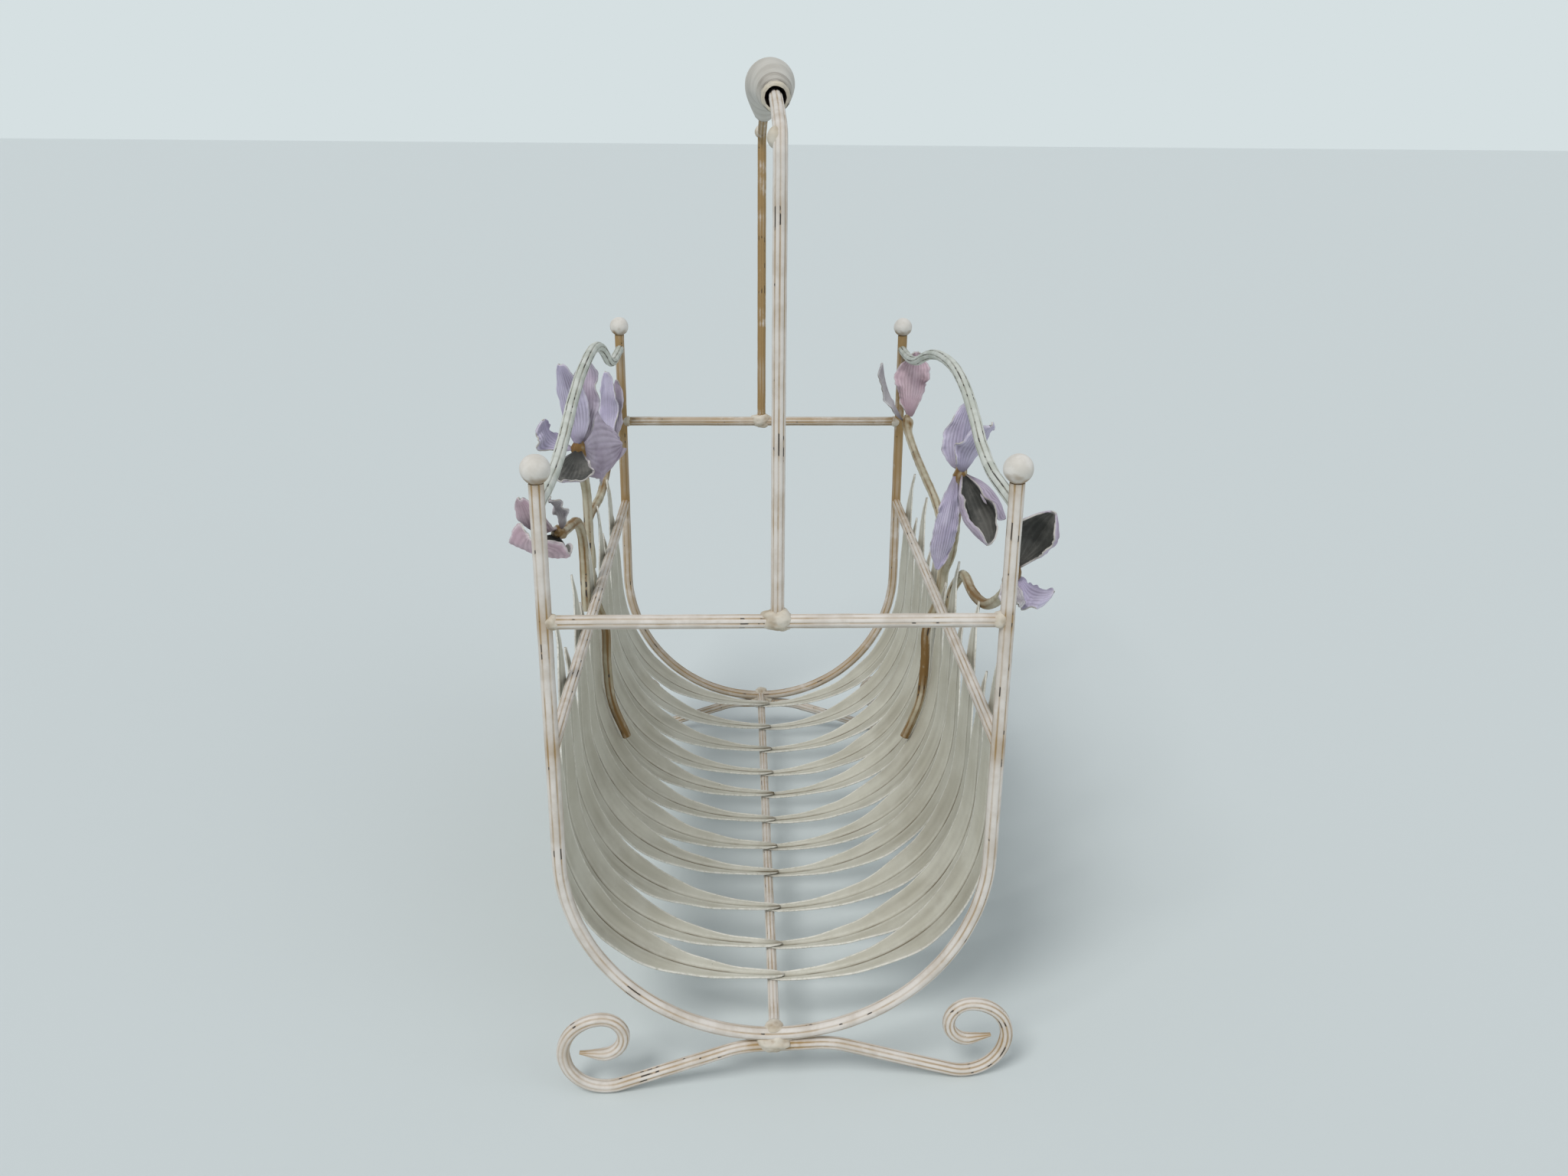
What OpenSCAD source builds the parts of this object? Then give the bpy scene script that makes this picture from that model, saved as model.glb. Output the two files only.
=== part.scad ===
// Magazine rack in bent and welded steel rod: two hoops carry a basket of sheet-metal iris leaves,
// with an arched handle, a spray of iris flowers on each side, and scrolled feet.
// Millimetres, +Z up, X across, Y along. The origin is on the floor under the middle of the rack.

/* [Frame] */
// Width between the two posts of a hoop, centre to centre
rack_w = 250; // [205:1:305]
// Length between the two hoops, centre to centre
rack_l = 490; // [405:1:590]
// Height of the ball centres above the floor
ball_z = 394; // [345:1:475]
// Height of the centreline of the hoops at their lowest point
hoop_z = 38; // [32:1:46]
// How far the crossbars lie below the ball centres
crossbar_drop = 84; // [50:1:95]
// Height of the side rails
rail_z = 234; // [195:1:260]
// How far below the ball centres the crest rods meet the posts
crest_drop = 19; // [16:1:36]
// Diameter of the balls on the posts
ball_d = 16; // [13:0.5:19.5]
// Diameter of the hoop rod
hoop_d = 8.2; // [7.8:0.1:10]
// Diameter of the crossbars and side rails
bar_d = 7.8; // [6.8:0.1:7.8]
// Diameter of the crest rods
crest_d = 7.4; // [6:0.1:7.6]
// Diameter of the spine rod under the leaves
spine_d = 7; // [5.8:0.1:8]

/* [Crest rods] */
// How far the hump of a crest rod rises
crest_rise = 34; // [26:1:41]
// How far the top of the hump lies from the middle
crest_skew = 28; // [0:1:40]
// Length of the level stretch at the steep end of a crest rod
crest_flat = 52; // [40:1:64]
// Share of the rise that is taken up by the rounded top
crest_top_share = 0.6; // [0.4:0.05:0.7]

/* [Handle] */
// Height of the handle rod at the top of its arch
handle_z = 586; // [500:1:700]
// Diameter of the handle rod
handle_d = 7.4; // [6.2:0.1:7.6]
// Slope of the run where it leaves its corners
handle_slope = 13.5; // [9:0.5:17]
// Tilt of the run, down towards the rear
handle_tilt = 0.7; // [0:0.1:1.2]
// Bending radius of the corners
handle_corner_r = 12; // [8:1:20]
// Length of the grip
grip_len = 320; // [160:1:384]
// Largest diameter of the grip
grip_d = 32; // [26:1:40]
// Diameter of the grip at its ends
grip_end_d = 15.5; // [13:0.5:19]
// Clearance round the rod inside the grip, on the radius
grip_play = 0.8; // [0.6:0.05:1.2]

/* [Feet] */
// Diameter of the foot rod
foot_d = 8; // [6.5:0.1:9.6]
// How far inside the posts the scrolls stand
foot_inset = 14; // [5:1:25]
// Bending radius where a scroll leaves the floor
scroll_r = 26; // [22:1:31]
// Bending radius over the top of a scroll
scroll_top_r = 24; // [21:1:28]
// Bending radius of the inner curl of a scroll
scroll_inner_r = 13; // [11:0.5:15]
// Turn of the front foot about the vertical
foot_turn = 2.3; // [0:0.1:4]
// How far the front foot is welded off the middle
foot_shift = 8; // [0:1:10]

/* [Leaves] */
// Thickness of the leaf sheet
leaf_t = 1; // [0.8:0.1:1.2]
// Greatest width of a leaf
leaf_w = 37; // [30:0.5:38]
// Depth of the fold along the middle of a leaf
leaf_fold = 2.5; // [2:0.1:3]
// Sideways tilt that lets neighbouring leaves lap
leaf_tilt = 6; // [5:0.5:7]
// How far the tips of the tall leaves stand above the rails
leaf_tall_over = 42; // [28:1:56]
// How far the tips of the short leaves stand above the rails
leaf_short_over = 9; // [6:1:28]

/* [Flowers] */
// Diameter of the flower stems
stem_d = 7; // [6:0.1:7.4]
// Thickness of the petal sheet
petal_t = 1.2; // [1:0.1:1.4]

/* [Hidden] */
$fn = 48;

weld_gap = 0.1;                       // seam between a leaf and the rod that carries it
lap_gap = 0.3;                        // space between sheets that lap
half_w = rack_w / 2;
half_l = rack_l / 2;
crossbar_z = ball_z - crossbar_drop;
crest_z = ball_z - crest_drop;
bend_z = hoop_z + half_w;             // centre of the half circle of a hoop
post_top = ball_z - sqrt(pow(ball_d / 2, 2) - pow(hoop_d / 2, 2));

// ---------------------------------------------------------------- bent rod

// A rod laid out as it is bent, from the origin along +X in the XY plane.
// A step of one number is a straight length, and a step of two is a bending radius and an angle,
// which is positive to the left. Each stretch stops just short of the next, and a ball that is a
// hair thicker than the rod joins the two.
joint_trim = 0.05;
joint_swell = 1.02;
module bent_rod(d, steps, i = 0) {
    if (i < len(steps)) {
        step = steps[i];
        if (i > 0) rotate([0, 90, 0]) sphere(d = d * joint_swell);
        if (len(step) == 1) {
            translate([joint_trim, 0, 0]) rotate([0, 90, 0]) cylinder(d = d, h = step[0] - 2 * joint_trim);
            translate([step[0], 0, 0]) bent_rod(d, steps, i + 1);
        } else {
            r = step[0];
            a = step[1];
            trim = joint_trim / r * 180 / PI;
            ring_fn = $fn;
            mirror([0, a < 0 ? 1 : 0, 0])
                translate([0, r, 0]) rotate([0, 0, trim - 90])
                    rotate_extrude(angle = abs(a) - 2 * trim, $fn = max(ring_fn, ceil(r)))
                        translate([r, 0]) circle(d = d, $fn = ring_fn);
            translate([r * sin(abs(a)), sign(a) * r * (1 - cos(a)), 0])
                rotate([0, 0, a]) bent_rod(d, steps, i + 1);
        }
    }
}

// ---------------------------------------------------------------- hoops, bars and balls

module hoop(y) {
    leg = post_top - bend_z;
    color("#cdc6be") translate([-half_w, y, post_top]) rotate([90, 0, 0]) rotate([0, 0, -90])
        bent_rod(hoop_d, [[leg], [half_w, 180], [leg]]);
}

// The four posts, as the shape that the ends of the bars are cut to fit
module post_shapes() {
    for (x = [-half_w, half_w], y = [-half_l, half_l])
        translate([x, y, bend_z]) cylinder(d = hoop_d, h = ball_z - bend_z);
}

module crossbar(y) {
    color("#cdc6be") difference() {
        translate([-half_w, y, crossbar_z]) rotate([0, 90, 0]) cylinder(d = bar_d, h = rack_w);
        post_shapes();
    }
}

module side_rail(x) {
    color("#c3bcae") difference() {
        translate([x, -half_l, rail_z]) rotate([-90, 0, 0]) cylinder(d = bar_d, h = rack_l);
        post_shapes();
    }
}

module spine_rod() {
    color("#c3bcae") difference() {
        translate([0, -half_l, hoop_z]) rotate([-90, 0, 0]) cylinder(d = spine_d, h = rack_l);
        for (y = [-half_l, half_l])
            translate([0, y, bend_z]) rotate([90, 0, 0])
                rotate_extrude($fn = ceil(half_w)) translate([half_w, 0]) circle(d = hoop_d, $fn = 48);
    }
}

module ball(x, y) {
    color("#e2ddd6") difference() {
        translate([x, y, ball_z]) sphere(d = ball_d);
        translate([x - ball_d, y - ball_d, post_top - 2 * ball_d]) cube(2 * ball_d);
    }
}

// ---------------------------------------------------------------- crest rods

// An ogee from a level rod up to the crown of the hump, turning up and then level again.
function ogee(run, rise) =
    let (a = 2 * atan(rise / run), r = run / sin(a))
    [[r * (1 - crest_top_share), a], [r * crest_top_share, -a]];
function ogee_back(run, rise) =
    let (a = 2 * atan(rise / run), r = run / sin(a))
    [[r * crest_top_share, -a], [r * (1 - crest_top_share), a]];

// The hump stands off the middle, so the rod has a steep side and a gentle one. The two crest rods
// are one shape, turned end for end.
module crest_rod(x, turn) {
    steep_run = half_l - crest_skew - crest_flat;
    gentle_run = half_l + crest_skew - crest_flat / 2;
    steps = concat([[crest_flat]], ogee(steep_run, crest_rise),
        ogee_back(gentle_run, crest_rise), [[crest_flat / 2]]);
    color("#c8cdc6") difference() {
        translate([x, 0, crest_z]) rotate([0, 0, turn]) translate([0, -half_l, 0])
            rotate([0, 0, 90]) rotate([90, 0, 0]) bent_rod(crest_d, steps);
        post_shapes();
    }
}

// ---------------------------------------------------------------- handle

rise_front = handle_slope - handle_tilt;       // slope at the front corner
rise_rear = handle_slope + handle_tilt;        // slope at the rear corner
front_in = handle_corner_r * (1 - sin(rise_front));
rear_in = handle_corner_r * (1 - sin(rise_rear));
run_y = rack_l - front_in - rear_in;
arch_r = run_y / cos(handle_tilt) / 2 / sin(handle_slope);
arch_y = -half_l + front_in + arch_r * sin(rise_front);
arch_z = handle_z - arch_r;                    // centre of the arch, far below the rack
front_leg = arch_z + arch_r * cos(rise_front) - handle_corner_r * cos(rise_front) - crossbar_z;
rear_leg = arch_z + arch_r * cos(rise_rear) - handle_corner_r * cos(rise_rear) - crossbar_z;

module handle_rod() {
    color("#cdc6be") difference() {
        translate([0, -half_l, crossbar_z]) rotate([0, 0, 90]) rotate([90, 0, 0]) rotate([0, 0, 90])
            bent_rod(handle_d, [
                [front_leg], [handle_corner_r, rise_front - 90],
                [arch_r, -2 * handle_slope],
                [handle_corner_r, rise_rear - 90], [rear_leg]
            ]);
        for (y = [-half_l, half_l])
            translate([-half_w, y, crossbar_z]) rotate([0, 90, 0]) cylinder(d = bar_d, h = rack_w);
    }
}

// The grip is a long barrel that is bowed like the rod it is threaded on.
grip_turn = grip_len / arch_r * 90 / PI;       // half of the arc that it covers
grip_rings = 24;
grip_sides = 24;
function grip_r(u) = grip_end_d / 2 + (grip_d - grip_end_d) / 2 * pow(cos(90 * abs(u)), 0.85);
function grip_point(u, side) =
    let (a = u * grip_turn, b = side * 360 / grip_sides, r = arch_r + grip_r(u) * cos(b))
    [grip_r(u) * sin(b), r * sin(a), r * cos(a)];

module handle_grip() {
    points = [for (i = [0 : grip_rings], j = [0 : grip_sides - 1])
        grip_point(2 * i / grip_rings - 1, j)];
    sides = [for (i = [0 : grip_rings - 1], j = [0 : grip_sides - 1])
        let (a = i * grip_sides + j, b = i * grip_sides + (j + 1) % grip_sides)
        each [[a, a + grip_sides, b], [b, a + grip_sides, b + grip_sides]]];
    ends = [[for (j = [0 : grip_sides - 1]) j],
        [for (j = [grip_sides - 1 : -1 : 0]) grip_rings * grip_sides + j]];
    color("#b9b8b2") translate([0, arch_y, arch_z]) rotate([-handle_tilt, 0, 0]) difference() {
        polyhedron(points, concat(sides, ends));
        rotate([90, 0, 90]) rotate([0, 0, 90 - 2 * grip_turn])
            rotate_extrude(angle = 4 * grip_turn, $fn = ceil(arch_r))
                translate([arch_r, 0]) circle(d = handle_d + 2 * grip_play, $fn = 48);
    }
}

// ---------------------------------------------------------------- feet

foot_z = hoop_z - hoop_d / 2 - foot_d / 2;     // the foot lies against the underside of the hoop
foot_level = 18;                               // half of the level stretch under the hoop
foot_bend_r = 60;                              // easy bend where the foot turns down

// One side of a foot past its level middle: down a slope to the floor, then up into the scroll
function foot_steps() =
    let (
        drop = foot_z - foot_d / 2,
        radii = foot_bend_r + scroll_r,
        run = half_w - foot_inset - foot_level,
        slope_len = sqrt(run * run + pow(drop - radii, 2) - radii * radii),
        slope = atan2(drop - radii, run) + atan2(radii, slope_len)
    )
    [[foot_bend_r, -slope], [slope_len], [scroll_r, slope + 90],
        [scroll_top_r, 90], [scroll_inner_r, 190], [12]];

module foot(y, turn, shift) {
    color("#cdc6be") translate([shift, y, foot_z]) rotate([0, 0, turn]) rotate([90, 0, 0]) {
        translate([-foot_level, 0, 0]) bent_rod(foot_d, concat([[2 * foot_level]], foot_steps()));
        translate([-foot_level, 0, 0]) mirror([1, 0, 0]) {
            rotate([0, 90, 0]) sphere(d = foot_d * joint_swell);
            bent_rod(foot_d, foot_steps());
        }
    }
}

// ---------------------------------------------------------------- leaves

// Where each leaf crosses the spine, as a share of half the length, from the rear to the front
leaf_places = [0.87, 0.67, 0.49, 0.315, 0.165, 0, -0.165, -0.31, -0.49, -0.665, -0.80];
// How far the tip of each leaf leans along a rack of the length that the sprays are written for
left_leans = [-20, 6, 2, 14, 4, 14, 2, 3, 0, 7, -8];
right_leans = [-26, 0, -7, 0, -4, 0, -8, 0, -7, 0, -8];

leaf_stations = 26;
leaf_stand_off = 2.4;                          // how far the fold line stands clear of the rails
leaf_r = half_w + bar_d / 2 + leaf_t / 2 + weld_gap + leaf_stand_off;   // radius of the fold line
leaf_lift_len = 140;                           // length in which a leaf draws in to the spine
leaf_seat_len = 6;                             // length that lies level on the spine
left_lap = 8.3;                                // how far the left leaves pass the spine's middle
right_lap = 2.8;                               // how far the right leaves pass it
// Width of a leaf along its length, as [share of length, share of the greatest width]
leaf_outline = [[0, 0.21], [0.1, 0.27], [0.22, 0.5], [0.36, 0.88], [0.5, 1], [0.66, 0.93],
    [0.8, 0.72], [0.9, 0.42], [0.97, 0.16], [1, 0.06]];

// Stations lie closer together at both ends of a leaf
function leaf_share(k) = let (u = k / leaf_stations) u - 0.09 * sin(360 * u);

function smooth(t) = let (c = min(1, max(0, t))) c * c * (3 - 2 * c);
// Cuts across a table of pairs, eased between its points
function ease_lookup(table, t, i = 0) =
    (i >= len(table) - 2 || t <= table[i + 1][0])
        ? let (a = table[i], b = table[i + 1], k = (t - a[0]) / (b[0] - a[0]))
            a[1] + (b[1] - a[1]) * (k + smooth(k)) / 2
        : ease_lookup(table, t, i + 1);

// One station across a leaf: the two edges and the fold line, on both faces of the sheet
function leaf_station(s, y0, lean, tip_z, lap, lift) =
    let (
        degree = leaf_r * PI / 180,
        over = lap / degree,
        lift_turn = leaf_lift_len / degree,
        seat_turn = leaf_seat_len / degree,
        arc_len = degree * (90 + over),
        total = arc_len + tip_z - bend_z,
        run = s * total,
        on_arc = run < arc_len,
        theta = on_arc ? 90 + over - run / degree : 0,
        up = on_arc ? 0 : run - arc_len,
        r = leaf_r - lift * smooth((theta - 90 + lift_turn) / (lift_turn - seat_turn)),
        centre = [r * cos(theta), y0 + lean * s * s * s, bend_z - r * sin(theta) + up],
        inward = [-cos(theta), 0, sin(theta)],
        half = leaf_w / 2 * ease_lookup(leaf_outline, s),
        fold = leaf_fold * half / (leaf_w / 2)
    )
    [for (face = [0.5, -0.5], v = [-1, 0, 1])
        centre + [0, v * half, 0]
            + inward * (face * leaf_t + abs(v) * fold + v * half * tan(leaf_tilt))];

// A strip of stations closed into a solid; each station holds its inner row, then its outer row
module strip_solid(stations, across) {
    n = len(stations);
    ring = 2 * across;
    points = [for (s = stations) each s];
    inner = [for (i = [0 : n - 2], j = [0 : across - 2]) let (a = i * ring + j)
        each [[a, a + 1, a + ring], [a + 1, a + ring + 1, a + ring]]];
    outer = [for (i = [0 : n - 2], j = [0 : across - 2]) let (a = i * ring + across + j)
        each [[a, a + ring, a + 1], [a + 1, a + ring, a + ring + 1]]];
    edges = [for (i = [0 : n - 2]) let (a = i * ring, b = a + across - 1)
        each [[a, a + ring, a + across], [a + ring, a + ring + across, a + across],
            [b, b + across, b + ring], [b + across, b + ring + across, b + ring]]];
    caps = [for (j = [0 : across - 2]) let (z = (n - 1) * ring)
        each [[j, j + across, j + 1], [j + 1, j + across, j + across + 1],
            [z + j, z + j + 1, z + j + across],
            [z + j + 1, z + j + across + 1, z + j + across]]];
    polyhedron(points, concat(inner, outer, edges, caps));
}

// Leaves are numbered from the rear. The right leaves end on the spine; the left ones lap over them.
module leaf(side, number) {
    i = number - 1;
    left = side < 0;
    tall = left ? number % 2 == 0 : number % 2 == 1;
    tip_z = rail_z + (tall ? leaf_tall_over : leaf_short_over);
    seat = hoop_z + spine_d / 2 + weld_gap + leaf_t / 2 + (left ? leaf_t + 3 * lap_gap : 0);
    lap = left ? left_lap : right_lap;
    lift = leaf_r - (bend_z - seat);
    color("#b2b4a8") mirror([left ? 1 : 0, 0, 0])
        strip_solid([for (k = [0 : leaf_stations])
            leaf_station(leaf_share(k), leaf_places[i] * half_l,
                (left ? left_leans[i] : right_leans[i]) * half_l / spray_half_l,
                tip_z, lap, lift)], 3);
}

// ---------------------------------------------------------------- stems and petals

// A point on the smooth curve through p, at t from 0 to 1
function curve(p, t) =
    let (
        n = len(p) - 1,
        i = min(floor(t * n), n - 1),
        k = t * n - i,
        a = p[max(i - 1, 0)], b = p[i], c = p[i + 1], d = p[min(i + 2, n)]
    )
    0.5 * (2 * b + (c - a) * k + (2 * a - 5 * b + 4 * c - d) * k * k
        + (3 * b - a - 3 * c + d) * k * k * k);

stem_sides = 8;
stem_rings = 40;                               // one of them lies at the calyx
// A round stem along a curve, with a radius for each share of its length
module stem(points, radii) {
    step = 0.001;
    verts = [for (i = [0 : stem_rings], j = [0 : stem_sides - 1])
        let (
            t = i / stem_rings,
            ahead = curve(points, min(t + step, 1)) - curve(points, max(t - step, 0)),
            side = cross(ahead, [1, 0, 0]) / norm(cross(ahead, [1, 0, 0])),
            top = cross(side, ahead) / norm(ahead),
            r = ease_lookup(radii, t),
            b = j * 360 / stem_sides
        )
        curve(points, t) + r * (cos(b) * side + sin(b) * top)];
    faces = [for (i = [0 : stem_rings - 1], j = [0 : stem_sides - 1])
        let (a = i * stem_sides + j, b = i * stem_sides + (j + 1) % stem_sides)
        each [[a, b, a + stem_sides], [b, b + stem_sides, a + stem_sides]]];
    ends = [[for (j = [stem_sides - 1 : -1 : 0]) j],
        [for (j = [0 : stem_sides - 1]) stem_rings * stem_sides + j]];
    color("#b5a98c") polyhedron(verts, concat(faces, ends));
}

petal_rows = 7;
petal_across = 5;
// A curved petal from its root to its tip: across is the direction of its width, crown bows it
// along its length, and cup bends its edges up.
module petal(root, tip, width, across, crown, cup, hue) {
    along = tip - root;
    wide = across / norm(across);
    out = cross(along, wide) / norm(cross(along, wide));
    rows = [for (i = [0 : petal_rows]) let (u = i / petal_rows,
        half = width / 2 * (0.16 + 0.84 * pow(sin(180 * pow(u, 0.85)), 0.8)))
        [for (face = [0.5, -0.5], j = [0 : petal_across - 1])
            let (v = 2 * j / (petal_across - 1) - 1)
            root + along * u + wide * v * half
                + out * (crown * sin(180 * u) + cup * v * v * half / width * 2 + face * petal_t)]];
    color(hue) strip_solid(rows, petal_across);
}

// The sprays stand outside the side rails. Their points are [out from the post line, along, up],
// written for the first four values below. They move with the bend, the rails and the crest rods.
// Along the rack they keep their place among the leaves near the middle, and their distance from
// the posts at the ends, and the branches are stretched between the last two values.
spray_half_l = 245;
spray_bend_z = 163;
spray_rail_z = 234;
spray_crest_z = 375;
stretch_from = 60;
stretch_to = 185;
function spray_y(y) = let (
        longer = half_l - spray_half_l,
        near = longer * leaf_places[4] / 2      // how far the gaps beside the middle leaf move
    )
    y + sign(y) * (abs(y) < leaf_w / 3 ? near * abs(y) / (leaf_w / 3)
        : abs(y) < stretch_from ? near
        : abs(y) > stretch_to ? longer
        : near + (longer - near) * (abs(y) - stretch_from) / (stretch_to - stretch_from));
function spray_z(z) =
    z > spray_rail_z
        ? rail_z + (z - spray_rail_z) * (crest_z - rail_z) / (spray_crest_z - spray_rail_z)
    : z > spray_bend_z
        ? bend_z + (z - spray_bend_z) * (rail_z - bend_z) / (spray_rail_z - spray_bend_z)
    : bend_z + z - spray_bend_z;
function outward(p, side) = [side * (p[0] + half_w), spray_y(p[1]), spray_z(p[2])];
stem_x = bar_d / 2 + stem_d / 2 + 0.35;        // centre of a stem that is welded to the rail
past_leaf = leaf_r - half_w + leaf_t / 2 + stem_d / 2 + 1;   // a stem that passes behind a leaf tip
// The foot of a spray lies on the inside of the leaves, under the rail
inner_r = leaf_r - leaf_t / 2 - leaf_fold - leaf_w / 2 * tan(leaf_tilt) - stem_d / 2 - lap_gap;
function on_leaves(y, z) =
    [sqrt(pow(inner_r, 2) - pow(max(0, bend_z - spray_z(z)), 2)) - half_w, y, z];

function facing(v, side) = [side * v[0], v[1], v[2]];
// The last stretch of a stem, which carries the calyx, keeps its length
function outward_all(points, side) = let (n = len(points) - 1, neck = outward(points[n - 1], side))
    [for (i = [0 : n]) i < n ? outward(points[i], side) : neck + facing(points[n] - points[n - 1], side)];
module side_stem(side, points, radii) {
    stem(outward_all(points, side), radii);
}

// A petal of a spray is welded to the calyx of its stem, on the side that faces aim, and has a tip,
// a width, a direction across, a crown and a cup.
calyx_share = 0.95;                            // place of the calyx along its stem
calyx_r = stem_d * 0.72;
flower_stem = [[0, stem_d / 2], [0.86, stem_d / 2], [calyx_share, calyx_r], [1, 1.6]];
module side_petal(side, points, aim, tip, width, across, crown, cup, hue) {
    calyx = curve(outward_all(points, side), calyx_share);
    reach = tip - curve(points, calyx_share);
    way = aim / norm(aim);
    flat = cross(reach, across) / norm(cross(reach, across));
    root = (calyx_r + lap_gap + petal_t / 2 * min(1, 0.2 + 1.2 * abs(flat * way))) * way;
    petal(calyx + facing(root, side), calyx + facing(reach, side), width, facing(across, side),
        side * crown, side * cup, hue);
}

lilac = "#a596b2";
mauve = "#8d7a90";
pink = "#bea5af";
left_main_points = [on_leaves(22, 107), on_leaves(23, 138), on_leaves(24, 170),
    on_leaves(25, 198), [stem_x - 4, 26, 216], [stem_x, 27, 232], [stem_x, 27, 250],
    [stem_x, 27, 276], [stem_x, 24, 305], [stem_x + 0.6, 13, 325], [9, 4, 338], [9.5, 3, 352]];
right_main_points = [on_leaves(17, 107), on_leaves(18, 138), on_leaves(18, 170),
    on_leaves(19, 198), [stem_x - 4, 17, 216], [stem_x, 14, 232], [stem_x, 7, 250],
    [stem_x, -14, 268], [6, -34, 288], [4, -49, 308], [3.5, -58, 332], [4, -60, 351]];
left_far_points = [[stem_x, 27.6 + stem_d, 244], [stem_x, 28 + stem_d, 256], [10, 42, 267],
    [past_leaf, 58, 273], [past_leaf, 76, 274], [past_leaf, 110, 271], [past_leaf, 147, 268],
    [past_leaf, 182, 271], [11, 209, 281], [10, 221, 298]];
right_far_points = [[stem_x, 15 + stem_d, 227], [stem_x + 0.6, 15 + stem_d, 241],
    [past_leaf, 30, 256], [past_leaf, 46, 268], [past_leaf - 1, 82, 281], [8, 132, 290],
    [7, 185, 296], [5, 218, 306], [4.5, 228, 319]];
left_near_points = [[stem_x, -9, 226], [stem_x, -9, 244], [stem_x, -8, 264], [stem_x, -14, 285],
    [8.4, -31, 300], [9.5, -58, 306], [10, -90, 312], [10, -118, 320]];
right_near_points = [[stem_x, -22, 226], [stem_x + 0.6, -24, 244], [past_leaf, -37, 261],
    [past_leaf, -56, 267], [past_leaf, -80, 266], [past_leaf, -109, 270], [past_leaf, -137, 278],
    [past_leaf, -165, 292], [12.5, -186, 308], [13, -197, 326]];

module left_main_stem() { side_stem(-1, left_main_points, flower_stem); }
module right_main_stem() { side_stem(1, right_main_points, flower_stem); }
module left_far_stem() { side_stem(-1, left_far_points, flower_stem); }
module right_far_stem() { side_stem(1, right_far_points, flower_stem); }
module left_near_stem() { side_stem(-1, left_near_points, flower_stem); }
module right_near_stem() { side_stem(1, right_near_points, flower_stem); }

module left_iris_standards() {
    p = left_main_points;
    side_petal(-1, p, [0.2, -0.7, 0.9], [15, -12, 406], 28, [0.9, 0.4, 0], 4, 4, lilac);
    side_petal(-1, p, [-0.4, 0.7, 0.9], [2, 20, 404], 26, [0.9, 0.5, 0], -3, -4, mauve);
}
module left_iris_falls() {
    p = left_main_points;
    side_petal(-1, p, [1, -0.2, -0.2], [31, -12, 368], 26, [-0.2, 1, 0.2], -6, 3, lilac);
    side_petal(-1, p, [-0.8, 0.6, -0.2], [-12, 60, 334], 54, [0.1, 0.1, 1], 5, -4, lilac);
    side_petal(-1, p, [-0.1, -1, -0.5], [16, -48, 332], 34, [1, 0, 0.1], -7, 4, mauve);
}
module right_iris_standards() {
    p = right_main_points;
    side_petal(1, p, [-0.4, 0.6, 0.9], [9, -50, 388], 24, [0.9, 0.3, 0], 3, 4, lilac);
    side_petal(1, p, [0.3, -0.8, 0.7], [18, -84, 380], 24, [0.9, 0.4, 0.1], 3, 4, lilac);
}
module right_iris_falls() {
    p = right_main_points;
    side_petal(1, p, [0.2, -1, -0.1], [18, -99, 306], 26, [0.9, 0.3, 0], -9, 4, mauve);
    side_petal(1, p, [1, 0.1, -0.1], [31, -72, 314], 22, [0.4, -0.9, 0], -6, 4, mauve);
    side_petal(1, p, [-0.9, -0.5, -0.2], [-9, -60, 274], 19, [1, -0.2, 0], 4, 3, lilac);
}
module left_bud_petals() {
    p = left_far_points;
    side_petal(-1, p, [0.4, -0.7, 0.7], [10, 207, 361], 17, [0.9, 0.4, 0], 3, 3, lilac);
    side_petal(-1, p, [-0.6, 0.9, -0.1], [1, 230, 350], 17, [0.9, 0.5, 0], -3, -3, mauve);
}
module right_bud_petals() {
    p = right_far_points;
    side_petal(1, p, [-0.9, -0.2, 0.2], [-24, 215, 367], 13, [0.4, 1, 0], 3, 3, pink);
    side_petal(1, p, [0.5, 0.1, 0.9], [11, 224, 376], 28, [1, 0, 0], 4, 4, pink);
}
module left_bloom_petals() {
    p = left_near_points;
    side_petal(-1, p, [0.3, -1, -0.4], [24, -164, 325], 34, [0.8, 0.3, 0.5], 8, 6, pink);
    side_petal(-1, p, [0.6, -0.5, 0.8], [24, -146, 362], 24, [0.9, 0.4, 0], 4, 4, pink);
    side_petal(-1, p, [-0.6, -0.4, 0.9], [2, -128, 346], 15, [0.7, 0.7, 0], 3, 3, mauve);
}
module right_bloom_petals() {
    p = right_near_points;
    side_petal(1, p, [0.6, 0.4, 0.8], [32, -202, 358], 24, [0.8, -0.6, -0.3], 4, 4, mauve);
    side_petal(1, p, [1, 0.3, -0.6], [34, -202, 307], 25, [0.4, 0.9, 0.1], -5, 4, lilac);
    side_petal(1, p, [-0.8, -0.8, -0.2], [11, -219, 309], 14, [1, 0, 0], -3, 3, pink);
}

// ---------------------------------------------------------------- parts

module front_hoop() { hoop(-half_l); }
module rear_hoop() { hoop(half_l); }
module front_crossbar() { crossbar(-half_l); }
module rear_crossbar() { crossbar(half_l); }
module left_side_rail() { side_rail(-half_w); }
module right_side_rail() { side_rail(half_w); }
module left_crest_rod() { crest_rod(-half_w, 180); }
module right_crest_rod() { crest_rod(half_w, 0); }
module front_foot() { foot(-half_l, foot_turn, foot_shift); }
module rear_foot() { foot(half_l, 0, 0); }

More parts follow.
